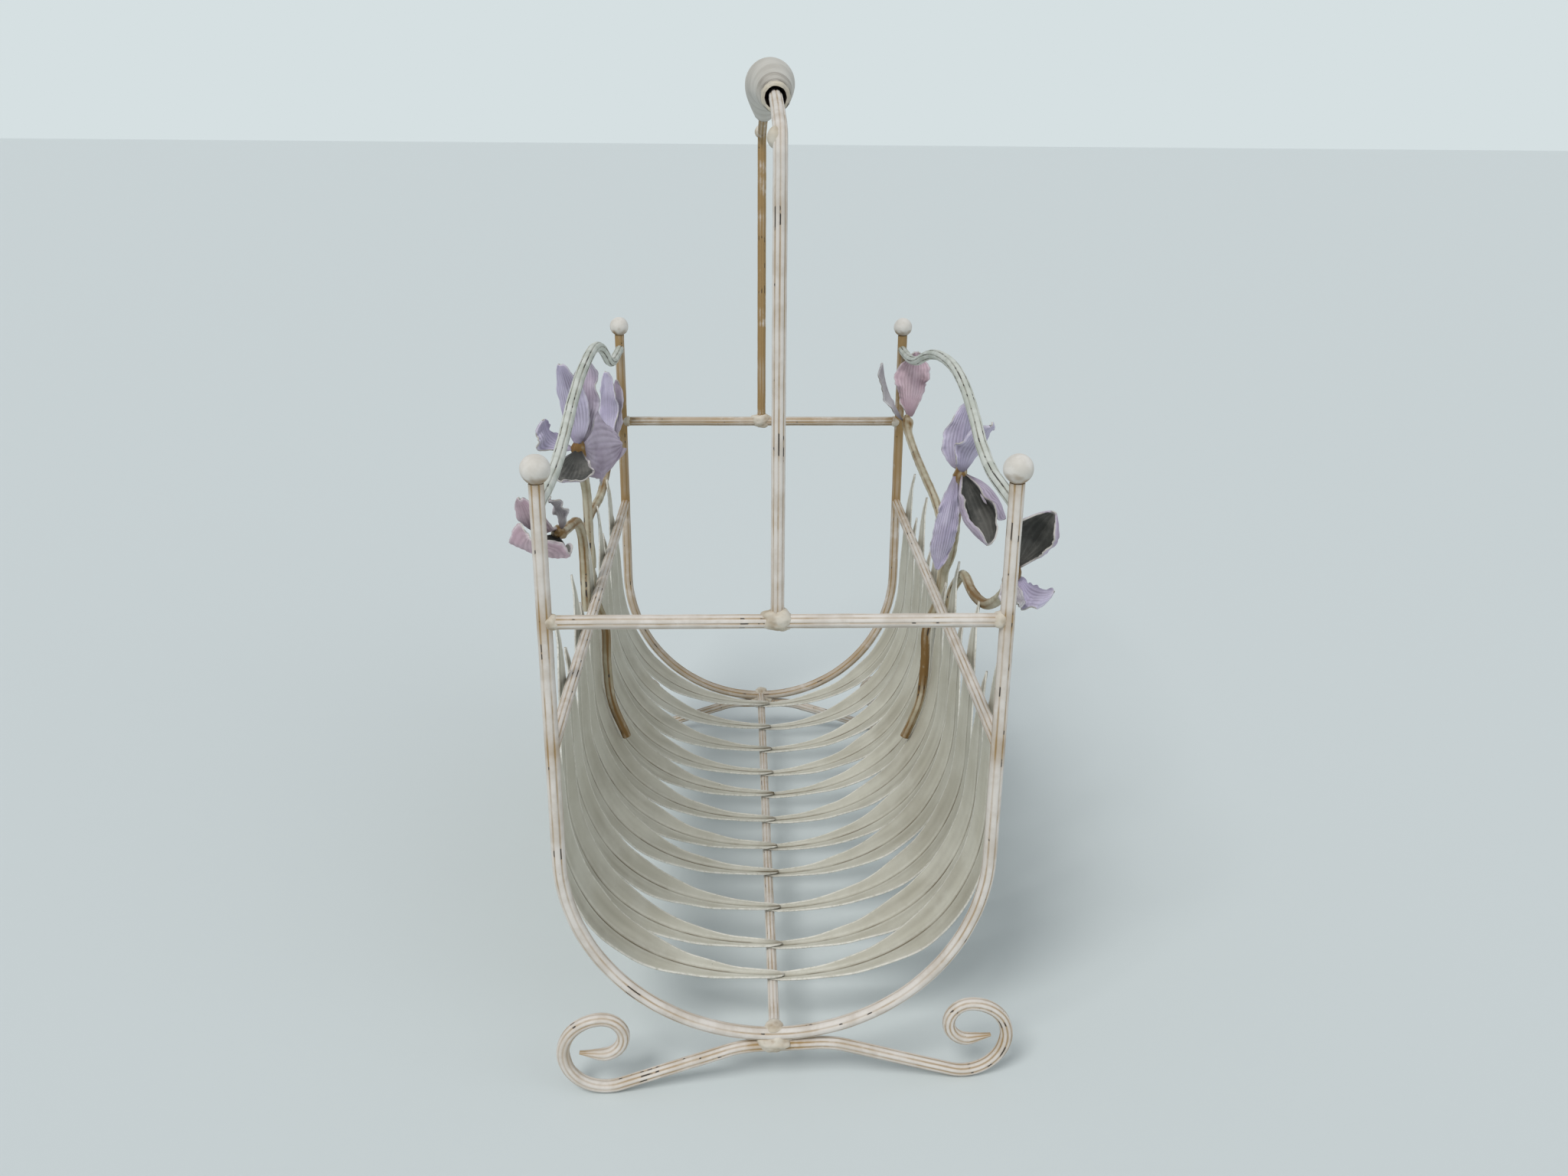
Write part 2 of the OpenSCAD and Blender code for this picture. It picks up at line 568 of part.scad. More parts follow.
front_hoop();
rear_hoop();
front_crossbar();
rear_crossbar();
left_side_rail();
right_side_rail();
left_crest_rod();
right_crest_rod();
spine_rod();
handle_rod();
handle_grip();
front_foot();
rear_foot();
ball(-half_w, -half_l);  // front_left_ball
ball(half_w, -half_l);  // front_right_ball
ball(-half_w, half_l);  // rear_left_ball
ball(half_w, half_l);  // rear_right_ball
for (i = [1 : 11]) {
    number = str(i < 10 ? "0" : "", i);
    leaf(-1, i);
    leaf(1, i);
}
left_main_stem();
left_far_stem();
left_near_stem();
right_main_stem();
right_far_stem();
right_near_stem();
left_iris_standards();
left_iris_falls();
left_bud_petals();
left_bloom_petals();
right_iris_standards();
right_iris_falls();
right_bud_petals();
right_bloom_petals();
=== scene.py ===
import math

import bmesh
import bpy
from mathutils import Matrix, Vector, noise


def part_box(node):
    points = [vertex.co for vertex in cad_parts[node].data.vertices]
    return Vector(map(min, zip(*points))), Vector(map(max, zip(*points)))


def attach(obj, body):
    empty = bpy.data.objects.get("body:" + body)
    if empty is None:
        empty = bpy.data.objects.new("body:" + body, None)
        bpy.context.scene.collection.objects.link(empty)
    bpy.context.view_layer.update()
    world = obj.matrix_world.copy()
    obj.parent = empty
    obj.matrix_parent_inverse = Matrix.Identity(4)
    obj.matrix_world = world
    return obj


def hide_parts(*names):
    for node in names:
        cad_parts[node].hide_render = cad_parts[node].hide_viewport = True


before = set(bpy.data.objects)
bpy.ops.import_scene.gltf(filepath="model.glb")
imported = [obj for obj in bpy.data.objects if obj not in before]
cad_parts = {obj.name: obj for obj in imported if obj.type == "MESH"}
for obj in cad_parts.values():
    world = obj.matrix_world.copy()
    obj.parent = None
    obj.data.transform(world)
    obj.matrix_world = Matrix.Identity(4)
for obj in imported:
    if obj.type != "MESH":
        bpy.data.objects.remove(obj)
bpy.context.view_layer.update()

# ---------------------------------------------------------------- setting
# A pale floor under an even, soft light, with the camera a little above the balls and in front of
# the rack, which it sees end on.


def srgb(red, green, blue):
    """A colour given as it looks on a screen, from 0 to 255, for a shader."""
    return tuple((c / 255 / 12.92) if c / 255 <= 0.04045 else ((c / 255 + 0.055) / 1.055) ** 2.4
                 for c in (red, green, blue)) + (1.0,)


FLOOR_HALF = 40.0
floor_bm = bmesh.new()
bmesh.ops.create_grid(floor_bm, x_segments=1, y_segments=1, size=FLOOR_HALF)
floor_mesh = bpy.data.meshes.new("floor")
floor_bm.to_mesh(floor_mesh)
floor_bm.free()
floor = bpy.data.objects.new("floor", floor_mesh)
bpy.context.scene.collection.objects.link(floor)
floor_paint = bpy.data.materials.new("pale floor")
floor_paint.use_nodes = True
floor_shader = floor_paint.node_tree.nodes["Principled BSDF"]
floor_shader.inputs["Base Color"].default_value = srgb(212, 220, 221)
floor_shader.inputs["Roughness"].default_value = 0.9
floor_mesh.materials.append(floor_paint)

world = bpy.data.worlds.new("soft daylight")
bpy.context.scene.world = world
world.use_nodes = True
sky = world.node_tree
sky.nodes.clear()
sky_out = sky.nodes.new("ShaderNodeOutputWorld")
sky_mix = sky.nodes.new("ShaderNodeMixShader")
sky_light = sky.nodes.new("ShaderNodeBackground")
sky_light.inputs["Color"].default_value = srgb(236, 241, 246)
sky_light.inputs["Strength"].default_value = 0.50
sky_seen = sky.nodes.new("ShaderNodeBackground")
sky_seen.inputs["Color"].default_value = srgb(214, 224, 226)
sky_seen.inputs["Strength"].default_value = 1.0
sky_path = sky.nodes.new("ShaderNodeLightPath")
sky_any = sky_path.outputs["Is Camera Ray"]
for ray in ("Is Glossy Ray", "Is Transmission Ray"):
    either = sky.nodes.new("ShaderNodeMath")
    either.operation = "MAXIMUM"
    sky.links.new(sky_any, either.inputs[0])
    sky.links.new(sky_path.outputs[ray], either.inputs[1])
    sky_any = either.outputs[0]
sky.links.new(sky_any, sky_mix.inputs[0])
sky.links.new(sky_light.outputs[0], sky_mix.inputs[1])
sky.links.new(sky_seen.outputs[0], sky_mix.inputs[2])
sky.links.new(sky_mix.outputs[0], sky_out.inputs[0])


def soft_lamp(name, place, spread, strength, colour):
    """A far lamp that shines from a place towards the rack, softened over that many degrees."""
    lamp = bpy.data.lights.new(name, "SUN")
    lamp.angle = math.radians(spread)
    lamp.energy = strength
    lamp.color = colour
    holder = bpy.data.objects.new(name, lamp)
    holder.location = place
    holder.rotation_euler = (-Vector(place)).to_track_quat("-Z", "Y").to_euler()
    bpy.context.scene.collection.objects.link(holder)


soft_lamp("key", (-1.1, -1.6, 2.4), spread=22, strength=1.55, colour=(1.0, 0.985, 0.96))
soft_lamp("fill", (1.8, -1.4, 1.1), spread=50, strength=0.40, colour=(0.95, 0.98, 1.0))

bpy.context.scene.view_settings.view_transform = "Standard"
CAMERA_PLACE = (-0.0202, -0.8787, 0.5615)
CAMERA_PAN, CAMERA_TIP, CAMERA_ROLL = -0.0373, -0.3513, -0.0086
camera = bpy.data.objects.new("camera", bpy.data.cameras.new("camera"))
camera.data.sensor_width = 36.0
camera.data.lens = 29.0
camera.data.clip_start = 0.02
camera_turn = (Matrix.Rotation(CAMERA_PAN, 4, "Z") @ Matrix.Rotation(CAMERA_TIP, 4, "X")
               @ Matrix.Rotation(CAMERA_ROLL, 4, "Y"))
camera.matrix_world = (Matrix.Translation(CAMERA_PLACE) @ camera_turn
                       @ Matrix.Rotation(math.radians(90), 4, "X"))
bpy.context.scene.collection.objects.link(camera)
bpy.context.scene.camera = camera

# ---------------------------------------------------------------- hoops
# Two U-shaped hoops of ridged steel rod, each bent in one piece: two posts and a half circle.
# They are painted antique white over a brown ground that still shows in the grooves and at welds.


def middle(node):
    """The middle of a node's box."""
    low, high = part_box(node)
    return (Vector(low) + Vector(high)) / 2


# Half the rack's width and length between its posts, and the heights of its parts
half_w = middle("front_right_ball").x
half_l = middle("rear_right_ball").y
ball_z = middle("front_right_ball").z
spine_z = middle("spine_rod").z
rail_z = middle("right_side_rail").z
crossbar_z = middle("front_crossbar").z
bend_z = spine_z + half_w
post_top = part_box("front_hoop")[1][2]
HOOP_R = 0.0041
BAR_R = 0.0039


def shader_node(tree, kind, inputs=(), **settings):
    """A node with its settings made and its inputs set or linked, by name or by number."""
    made = tree.nodes.new(kind)
    for key, value in settings.items():
        setattr(made, key, value)
    for key, value in dict(inputs).items():
        if isinstance(value, bpy.types.NodeSocket):
            tree.links.new(value, made.inputs[key])
        else:
            made.inputs[key].default_value = value
    return made


def sums(tree, operation, a, b=0.0, clamp=False):
    """One step of arithmetic on two values."""
    return shader_node(tree, "ShaderNodeMath", {0: a, 1: b}, operation=operation,
                       use_clamp=clamp).outputs[0]


def step(tree, value, low, high, top=1.0):
    """0 where value is below low, and top where it is above high, eased between."""
    return shader_node(tree, "ShaderNodeMapRange", {"Value": value, "From Min": low,
                       "From Max": high, "To Max": top}, interpolation_type="SMOOTHSTEP").outputs[0]


def tint(tree, amount, under, over):
    """The colour under, covered by the colour over by that amount."""
    made = shader_node(tree, "ShaderNodeMix", {0: amount, 6: under, 7: over}, data_type="RGBA")
    return made.outputs[2]


def cloud(tree, place, scale, detail=4.0, rough=0.6):
    """Soft cloudy mottling round a half, with that many clouds to the metre."""
    return shader_node(tree, "ShaderNodeTexNoise", {"Vector": place, "Scale": scale,
                       "Detail": detail, "Roughness": rough}).outputs[0]


def sockets(group, ins, outs):
    """Gives a node group its named inputs, with their defaults, and its outputs."""
    for name, value in ins.items():
        kind = "NodeSocketColor" if isinstance(value, tuple) else "NodeSocketFloat"
        made = group.interface.new_socket(name, in_out="INPUT", socket_type=kind)
        made.default_value = value
    for name, kind in outs.items():
        group.interface.new_socket(name, in_out="OUTPUT", socket_type="NodeSocket" + kind)


# Worn paint: a mottled coat, thin over edges, with the brown ground in grooves and at joints, small
# chips down to dark steel, and brush marks. The same ground colour also serves as painted shade
# where a piece marks it so, as round the middle height of the leaves.
worn = bpy.data.node_groups.new("worn paint", "ShaderNodeTree")
sockets(worn, {"Paint": srgb(214, 207, 197), "Shade": srgb(176, 166, 148),
               "Ground": srgb(128, 98, 62), "Steel": srgb(58, 52, 48),
               "Pale": srgb(226, 222, 214), "Groove": 0.0, "Soil_and_shade": 0.0, "Edge": 0.0,
               "Grain": 60.0, "Chips": 0.5, "Dashes": 0.0},
        {"Color": "Color", "Roughness": "Float", "Height": "Float"})
w_in = worn.nodes.new("NodeGroupInput").outputs
w_out = worn.nodes.new("NodeGroupOutput").inputs
w_place = worn.nodes.new("ShaderNodeTexCoord").outputs["Object"]
w_broad = cloud(worn, w_place, w_in["Grain"])
w_fine = cloud(worn, w_place, 900.0, 3.0)
w_spots = cloud(worn, w_place, 330.0, 5.0, 0.7)
w_patch = cloud(worn, w_place, 26.0, 5.0, 0.62)
w_coat = tint(worn, step(worn, w_broad, 0.38, 0.66, 0.85), w_in["Paint"], w_in["Shade"])
w_coat = tint(worn, sums(worn, "MULTIPLY", w_in["Edge"], step(worn, w_spots, 0.25, 0.6)),
              w_coat, w_in["Pale"])
w_deep = sums(worn, "MULTIPLY", w_in["Groove"],
              sums(worn, "ADD", 0.38, step(worn, w_patch, 0.40, 0.60, 0.57)))
# How much of the ground colour shows: in grooves, at dirty places, and where a piece paints shade
w_brown_and_shade = sums(worn, "ADD", w_deep,
               sums(worn, "MULTIPLY", w_in["Soil_and_shade"], step(worn, w_broad, 0.20, 0.50)), clamp=True)
w_coat = tint(worn, w_brown_and_shade, w_coat, w_in["Ground"])
w_limit = sums(worn, "SUBTRACT", 0.78, sums(worn, "MULTIPLY", w_in["Chips"], 0.14))
w_chip = step(worn, sums(worn, "SUBTRACT", w_spots, w_limit), 0.0, 0.02)
w_chip = sums(worn, "MULTIPLY", w_chip, step(worn, w_patch, 0.42, 0.55))
w_dash = sums(worn, "ADD", cloud(worn, w_place, 95.0, 2.0), sums(worn, "MULTIPLY", w_patch, 0.6))
w_dash = sums(worn, "ADD", w_dash, sums(worn, "MULTIPLY", w_in["Dashes"], 0.14))
w_dash = sums(worn, "MULTIPLY", step(worn, w_dash, 1.08, 1.11),
              step(worn, w_in["Groove"], 0.35, 0.7))
w_chip = sums(worn, "MAXIMUM", w_chip, w_dash)
w_coat = tint(worn, w_chip, w_coat, w_in["Steel"])
worn.links.new(w_coat, w_out["Color"])
w_rough = sums(worn, "ADD", 0.5, sums(worn, "MULTIPLY", w_broad, 0.22))
worn.links.new(sums(worn, "ADD", w_rough, sums(worn, "MULTIPLY", w_brown_and_shade, 0.1)),
               w_out["Roughness"])
w_bumps = sums(worn, "ADD", sums(worn, "MULTIPLY", w_fine, 0.25),
               sums(worn, "MULTIPLY", w_spots, 0.5))
worn.links.new(sums(worn, "SUBTRACT", w_bumps, sums(worn, "MULTIPLY", w_chip, 0.6)),
               w_out["Height"])


def painted_steel(name, relief=0.0004, **colours):
    """Steel sheet or rod with worn paint on it. The piece's groove, soil-and-shade and edge
    attributes say where the paint is thin or dirty, and where shade is painted on it."""
    coat = bpy.data.materials.new(name)
    coat.use_nodes = True
    tree = coat.node_tree
    look = tree.nodes.new("ShaderNodeGroup")
    look.node_tree = worn
    for key, value in colours.items():
        look.inputs[key.capitalize()].default_value = value
    for key in ("Groove", "Soil_and_shade", "Edge"):
        mark = shader_node(tree, "ShaderNodeAttribute", attribute_name=key.lower())
        tree.links.new(mark.outputs["Fac"], look.inputs[key])
    bump = shader_node(tree, "ShaderNodeBump", {"Height": look.outputs["Height"],
                       "Distance": relief, "Strength": 0.6})
    shader = tree.nodes["Principled BSDF"]
    tree.links.new(look.outputs["Color"], shader.inputs["Base Color"])
    tree.links.new(look.outputs["Roughness"], shader.inputs["Roughness"])
    tree.links.new(bump.outputs["Normal"], shader.inputs["Normal"])
    shader.inputs["Specular IOR Level"].default_value = 0.35
    return coat


def new_bmesh():
    """An empty mesh whose points carry how grooved they are, how much dirt and painted shade, and
    how near an edge.
    """
    made = bmesh.new()
    for key in ("groove", "soil_and_shade", "edge"):
        made.verts.layers.float.new(key)
    return made


def make_piece(name, bm, coats, body, replaced=(), sharp=50):
    """Turns a mesh into a finished piece on a body, in place of some nodes."""
    mesh = bpy.data.meshes.new(name)
    bm.to_mesh(mesh)
    bm.free()
    for coat in coats:
        mesh.materials.append(coat)
    for face in mesh.polygons:
        face.use_smooth = True
    mesh.set_sharp_from_angle(angle=math.radians(sharp))
    piece = bpy.data.objects.new(name, mesh)
    bpy.context.scene.collection.objects.link(piece)
    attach(piece, body)
    if replaced:
        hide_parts(*replaced)
    return piece


def ridged(radius, ridges, depth, sharpness=3, points=6):
    """Outline of a ridged rod: the angle, radius and depth of groove of each point round it."""
    outline = []
    for k in range(ridges * points):
        angle = 2 * math.pi * k / (ridges * points)
        cut = (0.5 + 0.5 * math.cos(ridges * angle)) ** sharpness
        outline.append((angle, radius - depth * cut, cut))
    return outline


def bent_path(start, heading, left, steps, pitch=0.004):
    """Points along a rod as it is bent. A step is a length, or a radius and an angle in degrees,
    which is positive to the left."""
    at, ahead, left = Vector(start), Vector(heading).normalized(), Vector(left).normalized()
    points = [at.copy()]
    for bend in steps:
        if len(bend) == 1:
            count = max(1, round(bend[0] / pitch))
            points += [at + ahead * bend[0] * k / count for k in range(1, count + 1)]
            at = points[-1].copy()
            continue
        radius, angle = bend[0], math.radians(bend[1])
        side = left if angle > 0 else -left
        centre = at + side * radius
        count = max(3, round(abs(angle) * radius / pitch))
        for k in range(1, count + 1):
            a = abs(angle) * k / count
            points.append(centre - side * radius * math.cos(a) + ahead * radius * math.sin(a))
        turned = ahead * math.cos(angle) + left * math.sin(angle)
        left = left * math.cos(angle) - ahead * math.sin(angle)
        ahead, at = turned, points[-1].copy()
    return points


def draw_rod(bm, path, outline, across=(1, 0, 0), girth=None):
    """Draws an outline along a path. The first ring stands square to the path, and each next one
    is extruded from the last, turned with the bend and moved on. girth gives each ring's size."""
    groove = bm.verts.layers.float["groove"]
    ring = bmesh.ops.create_circle(bm, segments=len(outline), radius=1.0)["verts"]
    ahead = (path[1] - path[0]).normalized()
    first = Vector(across) - ahead * Vector(across).dot(ahead)
    first.normalize()
    second = ahead.cross(first)
    size = girth(0.0) if girth else 1.0
    for vert, (angle, radius, cut) in zip(ring, outline):
        vert.co = path[0] + (first * math.cos(angle) + second * math.sin(angle)) * radius * size
        vert[groove] = cut
    edges = list(dict.fromkeys(edge for vert in ring for edge in vert.link_edges))
    for k in range(1, len(path)):
        made = bmesh.ops.extrude_edge_only(bm, edges=edges)["geom"]
        ring = [item for item in made if isinstance(item, bmesh.types.BMVert)]
        edges = [item for item in made if isinstance(item, bmesh.types.BMEdge)]
        onward = (path[min(k + 1, len(path) - 1)] - path[k - 1]).normalized()
        bmesh.ops.rotate(bm, verts=ring, cent=path[k - 1],
                         matrix=ahead.rotation_difference(onward).to_matrix())
        bmesh.ops.translate(bm, verts=ring, vec=path[k] - path[k - 1])
        if girth:
            new_size = girth(k / (len(path) - 1))
            bmesh.ops.scale(bm, verts=ring, vec=[new_size / size] * 3,
                            space=Matrix.Translation(-path[k]))
            size = new_size
        ahead = onward


def close_ends(bm):
    """Closes the open ends of rods and turns the faces outwards."""
    bmesh.ops.holes_fill(bm, edges=[edge for edge in bm.edges if edge.is_boundary], sides=0)
    bmesh.ops.recalc_face_normals(bm, faces=bm.faces)


# Beads of weld metal, each with its three half sizes, and joints where the ground shows through
POST_BEAD, POST_BEAD_IN = (0.0052, 0.0047, 0.0049), 0.972
beads = []
joints = []
for side_x in (-half_w, half_w):
    for end_y in (-half_l, half_l):
        beads.append((Vector((side_x * POST_BEAD_IN, end_y, crossbar_z)), POST_BEAD))
        joints += [Vector((side_x, end_y, crossbar_z)), Vector((side_x, end_y, rail_z)),
                   Vector((side_x, end_y, post_top))]


JOINT_SOIL_R, JOINT_SOIL = 0.0085, 0.6
REAR_START, REAR_FADE, LOW_SOIL = 0.12, 0.12, 0.55


def soiling(place, rear=0.4):
    """How brown the ground shows at a place: at the joints, and over much of the rear end."""
    near = max(math.exp(-((place - spot).length / JOINT_SOIL_R) ** 2) for spot in joints)
    back = min(1.0, max(0.0, (place.y - REAR_START) / REAR_FADE))
    back *= LOW_SOIL if place.z < rail_z else 1.0
    return min(1.0, JOINT_SOIL * near + rear * back * (1.0 + 0.6 * noise.noise(place * 24)))


def dirty(bm, rear=0.4):
    """Marks how brown the ground shows at each point of a rod."""
    soil_and_shade = bm.verts.layers.float["soil_and_shade"]
    for vert in bm.verts:
        vert[soil_and_shade] = soiling(vert.co, rear)


HAMMER_SEED = 3
noise.seed_set(HAMMER_SEED)


def hammer(bm, amount=0.00012, size=90.0):
    """Small unevenness of a rod that was worked hot, the same in every run."""
    for vert in bm.verts:
        vert.co += noise.noise_vector(vert.co * size) * amount


rod_paint = painted_steel("antique white rod", paint=srgb(220, 214, 207), shade=srgb(200, 191, 180),
                          ground=srgb(160, 132, 90), chips=0.6, dashes=0.95)
for name, end_y in (("front_hoop", -half_l), ("rear_hoop", half_l)):
    hoop = new_bmesh()
    leg = post_top - bend_z
    draw_rod(hoop, bent_path((-half_w, end_y, post_top), (0, 0, -1), (1, 0, 0),
             [(leg,), (half_w, 180), (leg,)]),
             ridged(HOOP_R, ridges=6, depth=0.0003, sharpness=8, points=9))
    close_ends(hoop)
    hammer(hoop)
    dirty(hoop, rear=0.8)
    make_piece(name + "_rod", hoop, [rod_paint], "frame", [name])

# ---------------------------------------------------------------- crossbars, side rails and spine
# Straight lengths of the same ridged rod, welded between the posts. The spine runs along the floor
# of the basket from hoop to hoop, and every leaf is welded to it.

SPINE_R = 0.0035
for name, start, heading, length, radius in (
        ("front_crossbar", (-half_w, -half_l, crossbar_z), (1, 0, 0), 2 * half_w, BAR_R),
        ("rear_crossbar", (-half_w, half_l, crossbar_z), (1, 0, 0), 2 * half_w, BAR_R),
        ("left_side_rail", (-half_w, -half_l, rail_z), (0, 1, 0), 2 * half_l, BAR_R),
        ("right_side_rail", (half_w, -half_l, rail_z), (0, 1, 0), 2 * half_l, BAR_R),
        ("spine_rod", (0, -half_l, spine_z), (0, 1, 0), 2 * half_l, SPINE_R)):
    bar = new_bmesh()
    draw_rod(bar, bent_path(start, heading, (0, 0, 1), [(length,)]),
             ridged(radius, ridges=8, depth=0.00035, sharpness=5, points=8), across=(0, 0, 1))
    close_ends(bar)
    hammer(bar)
    dirty(bar)
    make_piece(name.replace("_rod", "") + "_bar", bar, [rod_paint], "frame", [name])

# ---------------------------------------------------------------- crest rods
# A rod along the top of each side, bent into one hump and welded to the posts under the balls. It
# is painted a pale grey-green, and the paint is broken in dark dashes along its grooves.

CREST_R = 0.0037
CREST_SKEW = 0.028
CREST_FLAT = 0.052
CREST_TOP_SHARE = 0.6
crest_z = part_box("right_crest_rod")[0][2] + CREST_R
crest_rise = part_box("right_crest_rod")[1][2] - crest_z - CREST_R


def hump_side(run, down):
    """One side of the hump: turned up and then level again, or the same going down."""
    angle = 2 * math.degrees(math.atan(crest_rise / run))
    radius = run / math.sin(math.radians(angle))
    parts = [(radius * (1 - CREST_TOP_SHARE), angle), (radius * CREST_TOP_SHARE, -angle)]
    return parts[::-1] if down else parts


crest_paint = painted_steel("grey green crest rod", paint=srgb(212, 215, 208),
                            shade=srgb(184, 189, 178), ground=srgb(104, 96, 76), chips=0.6,
                            dashes=1.6)
crest_steps = ([(CREST_FLAT,)] + hump_side(half_l - CREST_SKEW - CREST_FLAT, False)
               + hump_side(half_l + CREST_SKEW - CREST_FLAT / 2, True) + [(CREST_FLAT / 2,)])
for name, side in (("right_crest_rod", 1), ("left_crest_rod", -1)):
    crest = new_bmesh()
    draw_rod(crest, bent_path((side * half_w, -side * half_l, crest_z), (0, side, 0), (0, 0, 1),
             crest_steps), ridged(CREST_R, ridges=6, depth=0.0004, sharpness=9, points=10))
    close_ends(crest)
    hammer(crest, amount=0.00018)
    dirty(crest, rear=0.15)
    make_piece(name.replace("rod", "bar"), crest, [crest_paint], "frame", [name])
    joints += [Vector((side * half_w, end * half_l, crest_z)) for end in (-1, 1)]

# ---------------------------------------------------------------- handle
# One rod, bent up from the front crossbar, over in a long flat arch and down to the rear crossbar.
# Each end of it is welded to the middle of its crossbar with a thick bead.

HANDLE_R = 0.0037
HANDLE_SLOPE = 13.5
HANDLE_TILT = 0.7
CORNER_R = 0.012
LEG_BEAD, ELBOW_BEAD = (0.0092, 0.0056, 0.0066), (0.0036, 0.0042, 0.0052)
handle_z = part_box("handle_rod")[1][2] - HANDLE_R
slope_front = math.radians(HANDLE_SLOPE - HANDLE_TILT)
slope_rear = math.radians(HANDLE_SLOPE + HANDLE_TILT)
front_in = CORNER_R * (1 - math.sin(slope_front))
rear_in = CORNER_R * (1 - math.sin(slope_rear))
arch_r = ((2 * half_l - front_in - rear_in) / math.cos(math.radians(HANDLE_TILT)) / 2
          / math.sin(math.radians(HANDLE_SLOPE)))
arch_y = -half_l + front_in + arch_r * math.sin(slope_front)
arch_z = handle_z - arch_r
handle_legs = [arch_z + (arch_r - CORNER_R) * math.cos(slope) - crossbar_z
               for slope in (slope_front, slope_rear)]
handle = new_bmesh()
draw_rod(handle, bent_path((0, -half_l, crossbar_z), (0, 0, 1), (0, -1, 0), [
    (handle_legs[0],), (CORNER_R, math.degrees(slope_front) - 90), (arch_r, -2 * HANDLE_SLOPE),
    (CORNER_R, math.degrees(slope_rear) - 90), (handle_legs[1],)]),
    ridged(HANDLE_R, ridges=8, depth=0.0004, sharpness=5, points=8))
close_ends(handle)
hammer(handle)
for way in (-1, 1):
    beads.append((Vector((0, way * half_l, crossbar_z + 0.001)), LEG_BEAD))
    joints.append(Vector((0, way * half_l, crossbar_z)))
    beads.append((Vector((-0.0026, way * (half_l - 0.003), handle_z - 0.030)), ELBOW_BEAD))
dirty(handle, rear=1.15)
make_piece("handle_arch", handle, [rod_paint], "frame", ["handle_rod"])

# ---------------------------------------------------------------- grip
# A long barrel of turned wood, bowed like the rod that it is threaded on, painted a matt grey
# white. Six fine rings are cut near its front end, and the paint has chipped off the wood at its
# mouths, which are worn wide by the rod.

GRIP_LEN = 0.320
GRIP_R = 0.0155
GRIP_END_R = 0.00775
GRIP_FULLNESS = 0.85
GRIP_BORE_R, MOUTH_FLARE, FLARE_LEN = 0.0045, 0.0014, 0.005
MOUTH_ROUND, MOUTH_ROUND_LEN = 0.0006, 0.0007
RING_START, RING_PITCH, RINGS = 0.0062, 0.0034, 6
RING_DEPTH, RING_W = 0.0004, 0.0006
grip_half = GRIP_LEN / 2 / arch_r


def eased(t):
    """Goes from 0 to 1 with t, gently at both ends."""
    t = min(1.0, max(0.0, t))
    return t * t * (3 - 2 * t)


def ring_cut(along):
    """How deep in a ring a place is, from 0 to 1, at that distance from the front end."""
    return sum(math.exp(-((along - RING_START - k * RING_PITCH) / RING_W) ** 2)
               for k in range(RINGS))


def grip_radius(share):
    """Radius of the barrel from its front end, at 0, to its rear end, at 1."""
    bulge = max(0.0, math.cos(math.pi / 2 * abs(2 * share - 1))) ** GRIP_FULLNESS
    barrel = GRIP_END_R + (GRIP_R - GRIP_END_R) * bulge
    along = share * GRIP_LEN
    mouth = MOUTH_ROUND * math.exp(-(min(along, GRIP_LEN - along) / MOUTH_ROUND_LEN) ** 2)
    return barrel - RING_DEPTH * ring_cut(along) - mouth


def bore_radius(share):
    """Radius of the bore, which flares at both mouths."""
    return GRIP_BORE_R + MOUTH_FLARE * math.exp(-(GRIP_LEN * min(share, 1 - share)
                                                  / FLARE_LEN) ** 2)


def arch_point(turn):
    """A point on the middle line of the handle's arch, at that angle from its top."""
    angle = turn + math.radians(HANDLE_TILT)
    return Vector((0, arch_y + arch_r * math.sin(angle), arch_z + arch_r * math.cos(angle)))


# The barrel and its bore are drawn apart, and each mouth's rim is drawn in to the bore
GRIP_RINGS, BORE_STEP = 640, 4
grip = new_bmesh()
grip_path = [arch_point(grip_half * (2 * k / GRIP_RINGS - 1)) for k in range(GRIP_RINGS + 1)]
circle = ridged(1.0, ridges=1, depth=0.0, sharpness=1, points=56)
draw_rod(grip, grip_path, circle, girth=grip_radius)
outer_edges = [edge for edge in grip.edges if edge.is_boundary]
outer_faces = set(grip.faces)
draw_rod(grip, grip_path[::BORE_STEP], circle, girth=bore_radius)
for face in set(grip.faces) - outer_faces:
    face.material_index = 1
for mouth_at in (grip_path[0], grip_path[-1]):
    rim = [edge for edge in outer_edges if (edge.verts[0].co - mouth_at).length < GRIP_END_R]
    lip = bmesh.ops.extrude_edge_only(grip, edges=rim)["geom"]
    for vert in lip:
        if isinstance(vert, bmesh.types.BMVert):
            vert.co = mouth_at + (vert.co - mouth_at).normalized() * (GRIP_BORE_R + MOUTH_FLARE)
bmesh.ops.remove_doubles(grip, verts=grip.verts, dist=0.00002)
bmesh.ops.recalc_face_normals(grip, faces=grip.faces)
edge_mark, soil_and_shade_mark = grip.verts.layers.float["edge"], grip.verts.layers.float["soil_and_shade"]
groove_mark = grip.verts.layers.float["groove"]
PATCH_RING = 96    # a bare patch on top of the barrel, that many rings from the front
patch_at = Vector((0.004, grip_path[PATCH_RING].y, grip_path[PATCH_RING].z + GRIP_R))
